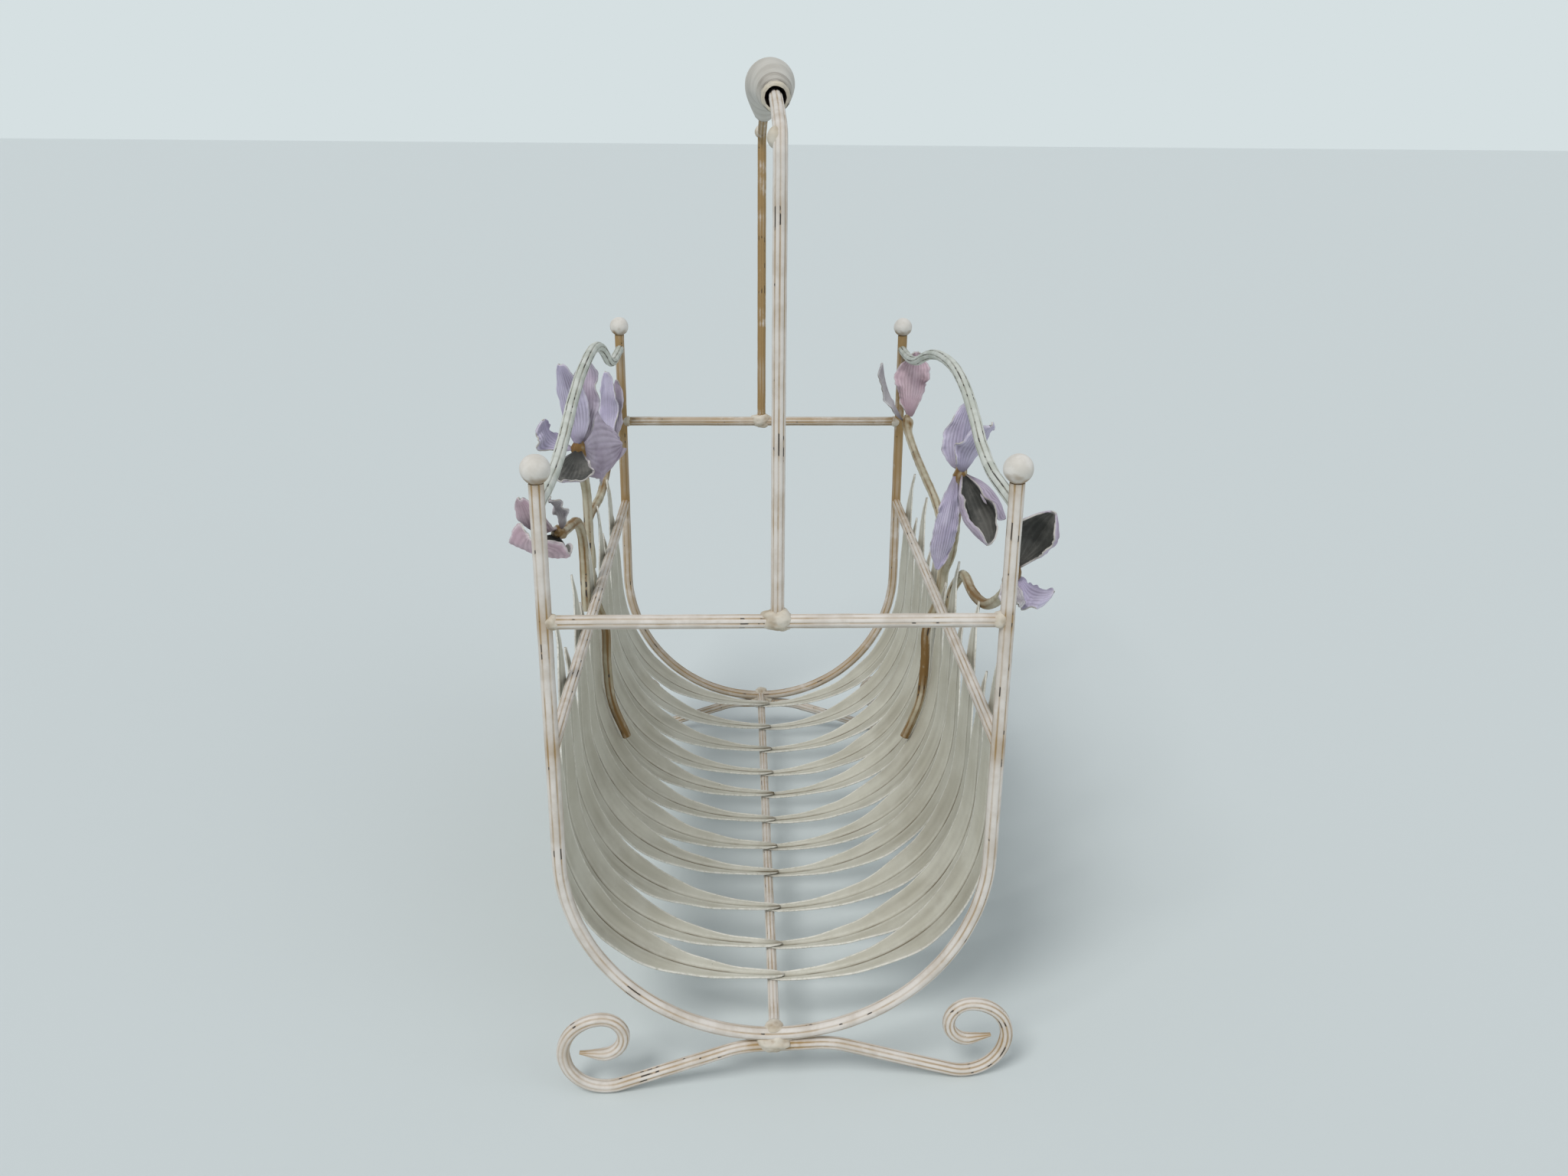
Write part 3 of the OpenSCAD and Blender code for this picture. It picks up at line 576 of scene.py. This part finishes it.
for vert in grip.verts:
    along = (vert.co.y - grip_path[0].y) / (grip_path[-1].y - grip_path[0].y) * GRIP_LEN
    end = min(along, GRIP_LEN - along)
    worn_back = 0.0024 + 0.0022 * noise.noise(vert.co * 260)
    vert[edge_mark] = max(eased((worn_back - end) / 0.0008),
                          eased(1.6 - (vert.co - patch_at).length / 0.0034))
    vert[groove_mark] = min(1.0, 0.8 * ring_cut(along) * (0.75 + noise.noise(vert.co * 90))
                            + 2.0 * math.exp(-((end - worn_back - 0.0006) / 0.0009) ** 2))
    vert[soil_and_shade_mark] = 0.35 * eased(1.5 - end / 0.009) * (0.5 + noise.noise(vert.co * 120))
    if end < 0.004:
        vert.co += noise.noise_vector(vert.co * 500) * 0.0003
grip_paint = painted_steel("worn grey white wood", paint=srgb(202, 198, 190),
                           shade=srgb(182, 177, 168), ground=srgb(92, 80, 66),
                           pale=srgb(218, 209, 190), chips=0.5, grain=30.0)
# The bore is painted a near black brown, which is painted shade in the narrow hole round the rod;
# the wood bared at the mouths is beige.
bore_painted_shade = painted_steel("painted shade in the bore", paint=srgb(66, 50, 40), shade=srgb(46, 34, 28),
                          ground=srgb(30, 22, 18), pale=srgb(52, 38, 30), chips=0.3)
make_piece("grip_barrel", grip, [grip_paint, bore_painted_shade], "grip", ["handle_grip"])

# ---------------------------------------------------------------- feet
# A foot is one rod, welded under the bottom of its hoop. It slopes down to the floor on both sides
# and curls up into a scroll, whose end is hammered thin.

FOOT_R = 0.004
FOOT_INSET, FOOT_LEVEL, FOOT_BEND_R = 0.014, 0.018, 0.060
SCROLL_R, SCROLL_TOP_R, SCROLL_INNER_R = 0.026, 0.024, 0.013
TAPER_START, TAPER = 0.94, 0.62
FLAT_LEN = 0.011
FOOT_BEAD, HOOP_BEAD = (0.0105, 0.0056, 0.0064), (0.0058, 0.0055, 0.0036)
foot_z = spine_z - HOOP_R - FOOT_R
drop, radii = foot_z - FOOT_R, FOOT_BEND_R + SCROLL_R
run = half_w - FOOT_INSET - FOOT_LEVEL
slope_len = math.sqrt(run ** 2 + (drop - radii) ** 2 - radii ** 2)
slope = math.degrees(math.atan2(drop - radii, run) + math.atan2(radii, slope_len))
foot_steps = [(FOOT_LEVEL,), (FOOT_BEND_R, -slope), (slope_len,), (SCROLL_R, slope + 90),
              (SCROLL_TOP_R, 90), (SCROLL_INNER_R, 190), (0.012,)]
for name, end_y, turn, shift in (("front_foot", -half_l, 2.3, 0.008),
                                 ("rear_foot", half_l, 0, 0)):
    aim = Vector((math.cos(math.radians(turn)), math.sin(math.radians(turn)), 0))
    centre = Vector((shift, end_y, foot_z))
    right, left = (bent_path(centre, aim * way, (0, 0, 1), foot_steps, 0.003) for way in (1, -1))
    path = left[:0:-1] + right
    foot = new_bmesh()
    draw_rod(foot, path, ridged(FOOT_R, ridges=8, depth=0.0004), across=(0, 1, 0),
             girth=lambda share: 1 - TAPER * max(0.0, (abs(2 * share - 1) - TAPER_START)
                                                 / (1 - TAPER_START)))
    close_ends(foot)
    hammer(foot)
    edge_mark = foot.verts.layers.float["edge"]
    for tip, inner in ((path[0], path[4]), (path[-1], path[-5])):
        thin = (tip - inner).normalized().cross(Vector((0, 1, 0)))
        for vert in foot.verts:
            flat = 1 - eased((vert.co - tip).length / FLAT_LEN)
            vert.co -= thin * (vert.co - tip).dot(thin) * 0.5 * flat
            vert[edge_mark] = max(vert[edge_mark], 0.8 * flat)
        joints.append(tip)
    beads.append((centre + Vector((-shift, -0.0010, FOOT_R * 0.6)), FOOT_BEAD))
    beads.append((centre + Vector((-shift, 0.0025, FOOT_R + 2 * HOOP_R - 0.001)), HOOP_BEAD))
    joints += [centre + Vector((-shift - 0.012, 0, 0)), centre + Vector((0.013 - shift, 0, 0))]
    dirty(foot, rear=0.2)
    make_piece(name + "_scroll", foot, [rod_paint], "frame", [name])

# ---------------------------------------------------------------- balls
# A plain steel ball stands on each post, painted a pearly off-white and browned where it is welded.

ball_paint = painted_steel("pearl white ball", paint=srgb(226, 222, 216), shade=srgb(204, 199, 190),
                           ground=srgb(146, 118, 78), chips=0.5)
BALL_R = 0.008
for name in ("front_left_ball", "front_right_ball", "rear_left_ball", "rear_right_ball"):
    centre = middle(name)
    centre.z = ball_z
    ball = new_bmesh()
    bmesh.ops.create_uvsphere(ball, u_segments=48, v_segments=28, radius=BALL_R)
    bmesh.ops.bisect_plane(ball, geom=ball.verts[:] + ball.edges[:] + ball.faces[:],
                           plane_co=(0, 0, post_top - ball_z), plane_no=(0, 0, 1),
                           clear_inner=True)
    bmesh.ops.translate(ball, verts=ball.verts, vec=centre)
    close_ends(ball)
    hammer(ball, amount=0.0002, size=160.0)
    soil_and_shade_mark = ball.verts.layers.float["soil_and_shade"]
    for vert in ball.verts:
        low = (centre.z - vert.co.z) / BALL_R
        vert[soil_and_shade_mark] = max(0.0, low - 0.30 + 0.5 * noise.noise(vert.co * 240)) * 1.5
    make_piece(name + "_knob", ball, [ball_paint], "frame", [name])

# ---------------------------------------------------------------- welds
# Lumpy beads of weld metal at every joint of the frame, left as they set and painted over.

bead_bm = new_bmesh()
soil_and_shade_mark = bead_bm.verts.layers.float["soil_and_shade"]
for spot, size in beads:
    bead = bmesh.ops.create_icosphere(bead_bm, subdivisions=4, radius=1.0)["verts"]
    for vert in bead:
        way = vert.co.copy()
        place = spot + way * size[0]
        lump = noise.noise(place * 170) + 0.4 * noise.noise(place * 420)
        vert.co = spot + Vector([a * b for a, b in zip(way, size)]) * (1 + 0.20 * lump)
        vert[soil_and_shade_mark] = 0.05 - 0.7 * lump
weld_paint = painted_steel("painted weld", relief=0.0006, paint=srgb(212, 205, 192),
                           shade=srgb(190, 178, 158), ground=srgb(146, 118, 80), chips=0.6)
make_piece("frame_welds", bead_bm, [weld_paint], "frame")

# ---------------------------------------------------------------- leaves
# Eleven iris leaves a side, cut from steel sheet a millimetre thick. Each is folded along its
# middle, curved round the basket and welded to the rail and the spine, where it narrows to a
# channel. The left leaves' ends lap over the right ones.

LEAF_T = 0.001
LEAF_W = 0.037
LEAF_FOLD = 0.0025
LEAF_TILT = math.tan(math.radians(6))
LEAF_STAND_OFF, WELD_GAP, LAP_GAP = 0.0024, 0.0001, 0.0009
LEAF_DRAW_LEN, LEAF_SEAT_LEN = 0.140, 0.006
CREASE_W, RIDGE_AT, RIDGE_W, LEAF_VEINS = 0.0007, 0.0021, 0.0009, 5
leaf_r = half_w + BAR_R + LEAF_T / 2 + WELD_GAP + LEAF_STAND_OFF
# Each leaf's place as a share of half the length, how far its tip leans, and how far its end laps
leaf_places = [0.87, 0.67, 0.49, 0.315, 0.165, 0, -0.165, -0.31, -0.49, -0.665, -0.80]
leaf_leans = {-1: [-20, 6, 2, 14, 4, 14, 2, 3, 0, 7, -8],
              1: [-26, 0, -7, 0, -4, 0, -8, 0, -7, 0, -8]}
leaf_laps = {-1: 0.0083, 1: 0.0028}
# Width of a leaf, as a share of its widest, from its end at the spine to its tip
leaf_outline = [(0, 0.04), (0.008, 0.12), (0.03, 0.20), (0.1, 0.27), (0.22, 0.5), (0.36, 0.88),
                (0.5, 1), (0.66, 0.93), (0.8, 0.72), (0.9, 0.42), (0.97, 0.16), (1, 0.05)]


def look_up(table, t):
    """Reads a table of pairs at t, half eased between its points."""
    for (a, low), (b, high) in zip(table, table[1:]):
        if t <= b or b == table[-1][0]:
            k = (t - a) / (b - a)
            return low + (high - low) * (k + eased(k)) / 2


leaf_paint = painted_steel("grey beige leaf", paint=srgb(202, 200, 187), shade=srgb(190, 187, 172),
                           ground=srgb(92, 78, 52), pale=srgb(236, 234, 225), chips=0.5, grain=30.0)
LEAF_ROWS, LEAF_COLUMNS = 96, 44
for side, word in ((-1, "left"), (1, "right")):
    for number in range(1, 12):
        node = f"{word}_leaf_{number:02d}"
        tip_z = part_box(node)[1][2]
        seat = spine_z + SPINE_R + WELD_GAP + LEAF_T / 2 + (LEAF_T + LAP_GAP if side < 0 else 0)
        lift = leaf_r - (bend_z - seat)
        over = leaf_laps[side] / leaf_r
        arc = leaf_r * (math.pi / 2 + over)
        total = arc + tip_z - bend_z
        lift_turn, seat_turn = LEAF_DRAW_LEN / leaf_r, LEAF_SEAT_LEN / leaf_r
        lean = leaf_leans[side][number - 1] / 1000
        seed = Vector((side * 3.1, number * 1.7, 0))
        leaf = new_bmesh()
        bmesh.ops.create_grid(leaf, x_segments=LEAF_ROWS, y_segments=LEAF_COLUMNS, size=1.0)
        groove_mark = leaf.verts.layers.float["groove"]
        soil_and_shade_mark, edge_mark = leaf.verts.layers.float["soil_and_shade"], leaf.verts.layers.float["edge"]
        for vert in leaf.verts:
            u, v = (vert.co.x + 1) / 2, vert.co.y
            share = u - 0.05 * math.sin(2 * math.pi * u)
            run = share * total
            theta = math.pi / 2 + over - run / leaf_r if run < arc else 0.0
            up = max(0.0, run - arc)
            r = leaf_r - lift * eased((theta - math.pi / 2 + lift_turn) / (lift_turn - seat_turn))
            half = LEAF_W / 2 * look_up(leaf_outline, share)
            wave = noise.noise(Vector((share * 9, v * 0.8, 0)) + seed)
            half *= 1 + 0.05 * abs(v) * noise.noise(Vector((share * 14, v, 5)) + seed)
            crease = math.exp(-(v * half / CREASE_W) ** 2)
            ridge = math.exp(-((abs(v * half) - RIDGE_AT) / RIDGE_W) ** 2)
            veins = 0.5 + 0.5 * math.cos(v * LEAF_VEINS * math.pi)
            rise = (abs(v) * LEAF_FOLD * half / (LEAF_W / 2) + v * half * LEAF_TILT
                    + 0.0007 * wave * abs(v) - 0.0004 * crease
                    + 0.00010 * veins * half / LEAF_W * 2)
            hook = 0.0012 * eased((share - 0.95) / 0.05)
            inward = Vector((-math.cos(theta), 0, math.sin(theta)))
            vert.co = (Vector((r * math.cos(theta), leaf_places[number - 1] * half_l
                       + lean * share ** 3 + v * half, bend_z - r * math.sin(theta) + up))
                       + inward * rise + Vector((hook, 0, 0)))
            vert.co.x *= side
            streak = noise.noise(Vector((share * 5, v * half * 160, 2)) + seed)
            vert[groove_mark] = min(1.0, crease + 0.05 * (1 - veins))
            vert[edge_mark] = max(eased((abs(v) - 1 + 0.0016 / half) / (0.0012 / half)),
                                  0.35 * ridge)
            # The soil-and-shade mark darkens each leaf at its root on the spine and at the height
            # of the rail, with streaks. The darker band round its middle height, where the leaf
            # curves upright, is partly soil and partly painted shade.
            vert[soil_and_shade_mark] = max(0.0, 0.35 * math.exp(-(run / 0.012) ** 2) * (1 + 2 * streak)
                                  + 0.25 * math.exp(-((vert.co.z - rail_z) / 0.008) ** 2)
                                  + 0.16 * math.exp(-((share - 0.42) / 0.16) ** 2) * (1 + streak)
                                  + 0.06 * streak)
        bmesh.ops.recalc_face_normals(leaf, faces=leaf.faces)
        sheet = make_piece(node + "_sheet", leaf, [leaf_paint], "frame", [node], sharp=60)
        wall = sheet.modifiers.new("thickness", "SOLIDIFY")
        wall.thickness = LEAF_T
        wall.offset = 0.0
        wall.use_even_offset = True

# ---------------------------------------------------------------- flower stems
# On each side three stems of round rod: the main one comes up from the leaves inside the basket,
# past the rail, and one branch leaves it for each end. Each ends in a lumpy calyx.

STEM_R = 0.0035
CALYX_R = 0.00504
CALYX_SHARE = 0.95
STEM_TIP_R = 0.0018
stem_x = 1000 * (BAR_R + STEM_R) + 0.35
past_leaf = 1000 * (leaf_r - half_w + LEAF_T / 2 + STEM_R) + 1
inner_r = leaf_r - LEAF_T / 2 - LEAF_FOLD - LEAF_W / 2 * LEAF_TILT - STEM_R - 0.0003


def on_leaves(y, z):
    """A point of a stem that lies on the inside of the leaves, in millimetres."""
    return (1000 * (math.sqrt(inner_r ** 2 - max(0.0, bend_z - z / 1000) ** 2) - half_w), y, z)


# Points of each stem in millimetres: out from the post line, along the rack, and up
stem_points = {
    "left_main_stem": [on_leaves(22, 107), on_leaves(23, 138), on_leaves(24, 170),
                       on_leaves(25, 198), (stem_x - 4, 26, 216), (stem_x, 27, 232),
                       (stem_x, 27, 250), (stem_x, 27, 276), (stem_x, 24, 305),
                       (stem_x + 0.6, 13, 325), (9, 4, 338), (9.5, 3, 352)],
    "right_main_stem": [on_leaves(17, 107), on_leaves(18, 138), on_leaves(18, 170),
                        on_leaves(19, 198), (stem_x - 4, 17, 216), (stem_x, 14, 232),
                        (stem_x, 7, 250), (stem_x, -14, 268), (6, -34, 288), (4, -49, 308),
                        (3.5, -58, 332), (4, -60, 351)],
    "left_far_stem": [(stem_x, 34.6, 244), (stem_x, 35, 256), (10, 42, 267), (past_leaf, 58, 273),
                      (past_leaf, 76, 274), (past_leaf, 110, 271), (past_leaf, 147, 268),
                      (past_leaf, 182, 271), (11, 209, 281), (10, 221, 298)],
    "right_far_stem": [(stem_x, 22, 227), (stem_x + 0.6, 22, 241), (past_leaf, 30, 256),
                       (past_leaf, 46, 268), (past_leaf - 1, 82, 281), (8, 132, 290),
                       (7, 185, 296), (5, 218, 306), (4.5, 228, 319)],
    "left_near_stem": [(stem_x, -9, 226), (stem_x, -9, 244), (stem_x, -8, 264), (stem_x, -14, 285),
                       (8.4, -31, 300), (9.5, -58, 306), (10, -90, 312), (10, -118, 320)],
    "right_near_stem": [(stem_x, -22, 226), (stem_x + 0.6, -24, 244), (past_leaf, -37, 261),
                        (past_leaf, -56, 267), (past_leaf, -80, 266), (past_leaf, -109, 270),
                        (past_leaf, -137, 278), (past_leaf, -165, 292), (12.5, -186, 308),
                        (13, -197, 326)]}


def outward(point, side):
    """A point of a flower spray in metres, on the left side for -1 and on the right for 1."""
    return Vector((side * (point[0] / 1000 + half_w), point[1] / 1000, point[2] / 1000))


def on_curve(points, t):
    """A point on the smooth curve through the points, at t from 0 to 1."""
    last = len(points) - 1
    i = min(int(t * last), last - 1)
    k = t * last - i
    a, b, c, d = points[max(i - 1, 0)], points[i], points[i + 1], points[min(i + 2, last)]
    return 0.5 * (2 * b + (c - a) * k + (2 * a - 5 * b + 4 * c - d) * k * k
                  + (3 * b - a - 3 * c + d) * k ** 3)


stem_paint = painted_steel("beige green stem", paint=srgb(196, 189, 168), shade=srgb(166, 158, 132),
                           ground=srgb(124, 94, 52), chips=0.6, dashes=0.9)
stem_girth = [(0, STEM_R), (0.86, STEM_R), (CALYX_SHARE, CALYX_R), (1, STEM_TIP_R)]
stem_curves = {}
for name, points in stem_points.items():
    side = -1 if name.startswith("left") else 1
    stem_curves[name] = [outward(point, side) for point in points]
    length = sum((b - a).length for a, b in zip(stem_curves[name], stem_curves[name][1:]))
    rings = round(length / 0.003)
    stem = new_bmesh()
    draw_rod(stem, [on_curve(stem_curves[name], k / rings) for k in range(rings + 1)],
             ridged(1.0, ridges=5, depth=0.07), girth=lambda t: look_up(stem_girth, t))
    close_ends(stem)
    soil_and_shade_mark = stem.verts.layers.float["soil_and_shade"]
    calyx = on_curve(stem_curves[name], CALYX_SHARE)
    for vert in stem.verts:
        near = math.exp(-((vert.co - calyx).length / 0.011) ** 2)
        lump = noise.noise(vert.co * 300)
        vert.co += noise.noise_vector(vert.co * 190) * (0.00025 + 0.0011 * near)
        vert[soil_and_shade_mark] = max(0.0, near * (0.65 + 0.9 * lump) + 0.15 + noise.noise(vert.co * 26)
                              + 0.35 * max(0.0, (0.27 - vert.co.z) / 0.1))
    make_piece(name + "_rod", stem, [stem_paint], "frame", [name])

# ---------------------------------------------------------------- petals
# Iris petals beaten from thin sheet, with ruffled edges and raised veins, welded round each calyx.
# They are washed in lilac and pink outside, and the dark metal shows inside between pale rims.

PETAL_T = 0.00096
petal_inside = painted_steel("dark inside of a petal", paint=srgb(112, 111, 106),
                             shade=srgb(66, 67, 64), ground=srgb(32, 29, 27),
                             pale=srgb(214, 208, 212), chips=0.3, grain=60.0)
petal_rim = painted_steel("pale petal rim", paint=srgb(216, 210, 212), shade=srgb(186, 178, 182),
                          ground=srgb(90, 76, 66), chips=0.7)
petal_hues = {
    "lilac": painted_steel("lilac petal", paint=srgb(204, 197, 219), shade=srgb(182, 173, 200),
                           ground=srgb(92, 82, 96), pale=srgb(214, 208, 222), chips=0.4,
                           grain=48.0),
    "mauve": painted_steel("mauve petal", paint=srgb(200, 189, 206), shade=srgb(174, 160, 180),
                           ground=srgb(86, 74, 84), pale=srgb(208, 200, 212), chips=0.5,
                           grain=48.0),
    "pink": painted_steel("pink petal", paint=srgb(214, 190, 199), shade=srgb(188, 161, 173),
                          ground=srgb(108, 86, 88), pale=srgb(226, 214, 218), chips=0.4,
                          grain=48.0),
    "ash": painted_steel("ash petal", paint=srgb(198, 193, 196), shade=srgb(168, 160, 168),
                         ground=srgb(86, 78, 80), pale=srgb(218, 214, 216), chips=0.5,
                         grain=48.0)}
# Each group's stem, and for each petal the side of the calyx that it is on, its tip, its width and
# the direction of its width; how far its middle bows and its tip curls, in millimetres; how far its
# sides roll in, in degrees; how far out it is widest, how much it is ruffled, its colour, and which
# way its inside is
petal_groups = {
    "left_iris_standards": ("left_main_stem", [
        ((0.2, -0.7, 0.9), (18, -14, 406), 26, (0.9, 0.4, 0), 3, 3, 45, 0.9, 0.4, "lilac", 1),
        ((-0.4, 0.7, 0.9), (2, 20, 404), 26, (0.9, 0.5, 0), -3, -2, 35, 1.0, 1.2, "mauve", 1)]),
    "left_iris_falls": ("left_main_stem", [
        ((1, -0.2, -0.2), (31, -12, 368), 28, (-0.2, 1, 0.2), -6, 0, 35, 1.2, 1.2, "lilac", -1),
        ((-0.8, 0.6, -0.2), (-12, 60, 334), 56, (0.1, 0.1, 1), 5, -4, 25, 1.7, 2.0, "mauve", 1),
        ((-0.1, -1, -0.5), (16, -48, 332), 36, (1, 0, 0.1), -7, 3, 30, 1.3, 1.0, "mauve", 1)]),
    "right_iris_standards": ("right_main_stem", [
        ((-0.4, 0.6, 0.9), (9, -50, 388), 26, (0.9, 0.3, 0), 3, 2, 35, 0.9, 0.8, "lilac", 1),
        ((0.3, -0.8, 0.7), (18, -84, 380), 26, (0.9, 0.4, 0.1), 3, 2, 35, 1.0, 0.9, "lilac", 1)]),
    "right_iris_falls": ("right_main_stem", [
        ((0.2, -1, -0.1), (18, -99, 306), 42, (0.9, 0.3, 0), -9, -2, 112, 1.2, 0.9, "mauve", 1),
        ((1, 0.1, -0.1), (31, -72, 314), 32, (0.4, -0.9, 0), -6, -2, 95, 1.2, 0.9, "mauve", 1),
        ((-0.9, -0.5, -0.2), (-9, -60, 274), 19, (1, -0.2, 0), 4, 2, 55, 1.3, 2.2, "lilac", -1)]),
    "left_bud_petals": ("left_far_stem", [
        ((0.4, -0.7, 0.7), (10, 207, 361), 18, (0.9, 0.4, 0), 3, 2, 35, 1.0, 0.9, "lilac", 1),
        ((-0.6, 0.9, -0.1), (1, 230, 350), 18, (0.9, 0.5, 0), -3, -2, 35, 1.1, 1.0, "mauve", 1)]),
    "right_bud_petals": ("right_far_stem", [
        ((-0.9, -0.2, 0.2), (-24, 215, 367), 15, (0.4, 1, 0), 3, -3, 50, 1.0, 0.7, "ash", 1),
        ((0.5, 0.1, 0.9), (10, 224, 376), 30, (1, 0, 0), 4, 2, 35, 1.25, 2.4, "pink", 1)]),
    "left_bloom_petals": ("left_near_stem", [
        ((0.3, -1, -0.4), (19, -164, 325), 42, (0.9, 0.3, 0.1), -9, 6, 40, 1.3, 2.0, "pink", 1),
        ((0.6, -0.5, 0.8), (26, -150, 350), 24, (0.9, 0.4, 0), -9, 2, 50, 1.1, 0.6, "pink", 1),
        ((-0.6, -0.4, 0.9), (11, -132, 346), 14, (0.7, 0.7, 0), 3, 0, 40, 1.0, 1.0, "ash", 1)]),
    "right_bloom_petals": ("right_near_stem", [
        ((0.6, 0.4, 0.8), (32, -202, 358), 44, (0.8, -0.6, -0.3), 4, 0, 105, 1.4, 1.2, "mauve", -1),
        ((1, 0.3, -0.6), (34, -202, 307), 32, (0.4, 0.9, 0.1), -3, -3, 50, 1.5, 1.5, "lilac", -1),
        ((-0.8, -0.8, -0.2), (11, -219, 309), 16, (1, 0, 0), -3, 0, 40, 1.2, 1.1, "ash", -1)])}


def facing(vector, side):
    """A direction of a petal, mirrored for the left side."""
    return Vector((side * vector[0], vector[1], vector[2]))


PETAL_ROWS, PETAL_COLUMNS, VEINS = 56, 88, 11
RIM_W, RIB_W = 0.0013, 0.0014
for group, (stem_name, petals) in petal_groups.items():
    side = -1 if group.startswith("left") else 1
    calyx = on_curve(stem_curves[stem_name], CALYX_SHARE)
    for number, petal_row in enumerate(petals):
        aim, tip, width, across, crown, curl, roll, swell, ruffled, hue, inner = petal_row
        way = facing(aim, side).normalized()
        wide = facing(across, side).normalized()
        root = calyx + way * (CALYX_R - 0.0006)
        along = outward(tip, side) - root
        out = along.cross(wide).normalized() * side
        inside = out * inner
        rolled = math.radians(roll)
        seed = Vector((number * 2.3 + len(group), side * 1.9, 0))
        petal = new_bmesh()
        bmesh.ops.create_grid(petal, x_segments=PETAL_ROWS, y_segments=PETAL_COLUMNS, size=1.0)
        groove_mark = petal.verts.layers.float["groove"]
        soil_and_shade_mark, edge_mark = petal.verts.layers.float["soil_and_shade"], petal.verts.layers.float["edge"]
        for vert in petal.verts:
            u, v = (vert.co.x + 1) / 2, vert.co.y
            half = width / 2000 * (0.14 + 0.86 * max(0.0, math.sin(math.pi * u ** swell)) ** 0.75)
            torn = (0.09 * noise.noise(Vector((u * 9, v * 0.5, 3)) + seed)
                    + 0.04 * noise.noise(Vector((u * 26, v * 0.5, 7)) + seed))
            ragged = 1 + ruffled * abs(v) * torn
            ruffle = ((math.sin(u * 15 + 2.2 * v + seed.x) * 0.0016
                       + noise.noise(Vector((u * 5, v * 2, 0)) + seed) * 0.0034
                       + noise.noise(Vector((u * 13, v * 2, 4)) + seed) * 0.0012)
                      * ruffled * abs(v) ** 2.2 * eased(u * 3))
            vein = (0.5 + 0.5 * math.cos(v * VEINS * math.pi)) ** 2
            rib = math.exp(-(v * half / RIB_W) ** 2)
            flat = half * math.sin(rolled * v) / rolled
            lift = half * (1 - math.cos(rolled * v)) / rolled
            bow = (crown * math.sin(math.pi * u)) / 1000
            rise = (ruffle + lift + curl / 1000 * u ** 3
                    - (0.00025 * vein + 0.0006 * rib) * eased(u * 4))
            vert.co = root + along * u + wide * flat * ragged + out * bow + inside * rise
            vert[groove_mark] = 0.38 * (1 - vein) ** 3 * eased(u * 3)
            rim = max((abs(v) - 1) * half, (u - 1) * along.length)
            vert[edge_mark] = eased((rim + RIM_W) / 0.0007) * eased(u * 4)
            vert[soil_and_shade_mark] = min(1.0, 0.7 * math.exp(-(u / 0.13) ** 2)
                                  + max(0.0, 0.45 * noise.noise(vert.co * 70 + seed)))
        bmesh.ops.recalc_face_normals(petal, faces=petal.faces)
        if sum((face.normal for face in petal.faces), Vector()).dot(inside) > 0:
            bmesh.ops.reverse_faces(petal, faces=petal.faces)
        blade = make_piece(f"{group}_{number + 1}", petal,
                           [petal_hues[hue], petal_inside, petal_rim],
                           "frame", [group] if number == 0 else [], sharp=70)
        wall = blade.modifiers.new("thickness", "SOLIDIFY")
        wall.thickness = PETAL_T
        wall.offset = 0.0
        wall.material_offset = 1
        wall.material_offset_rim = 2
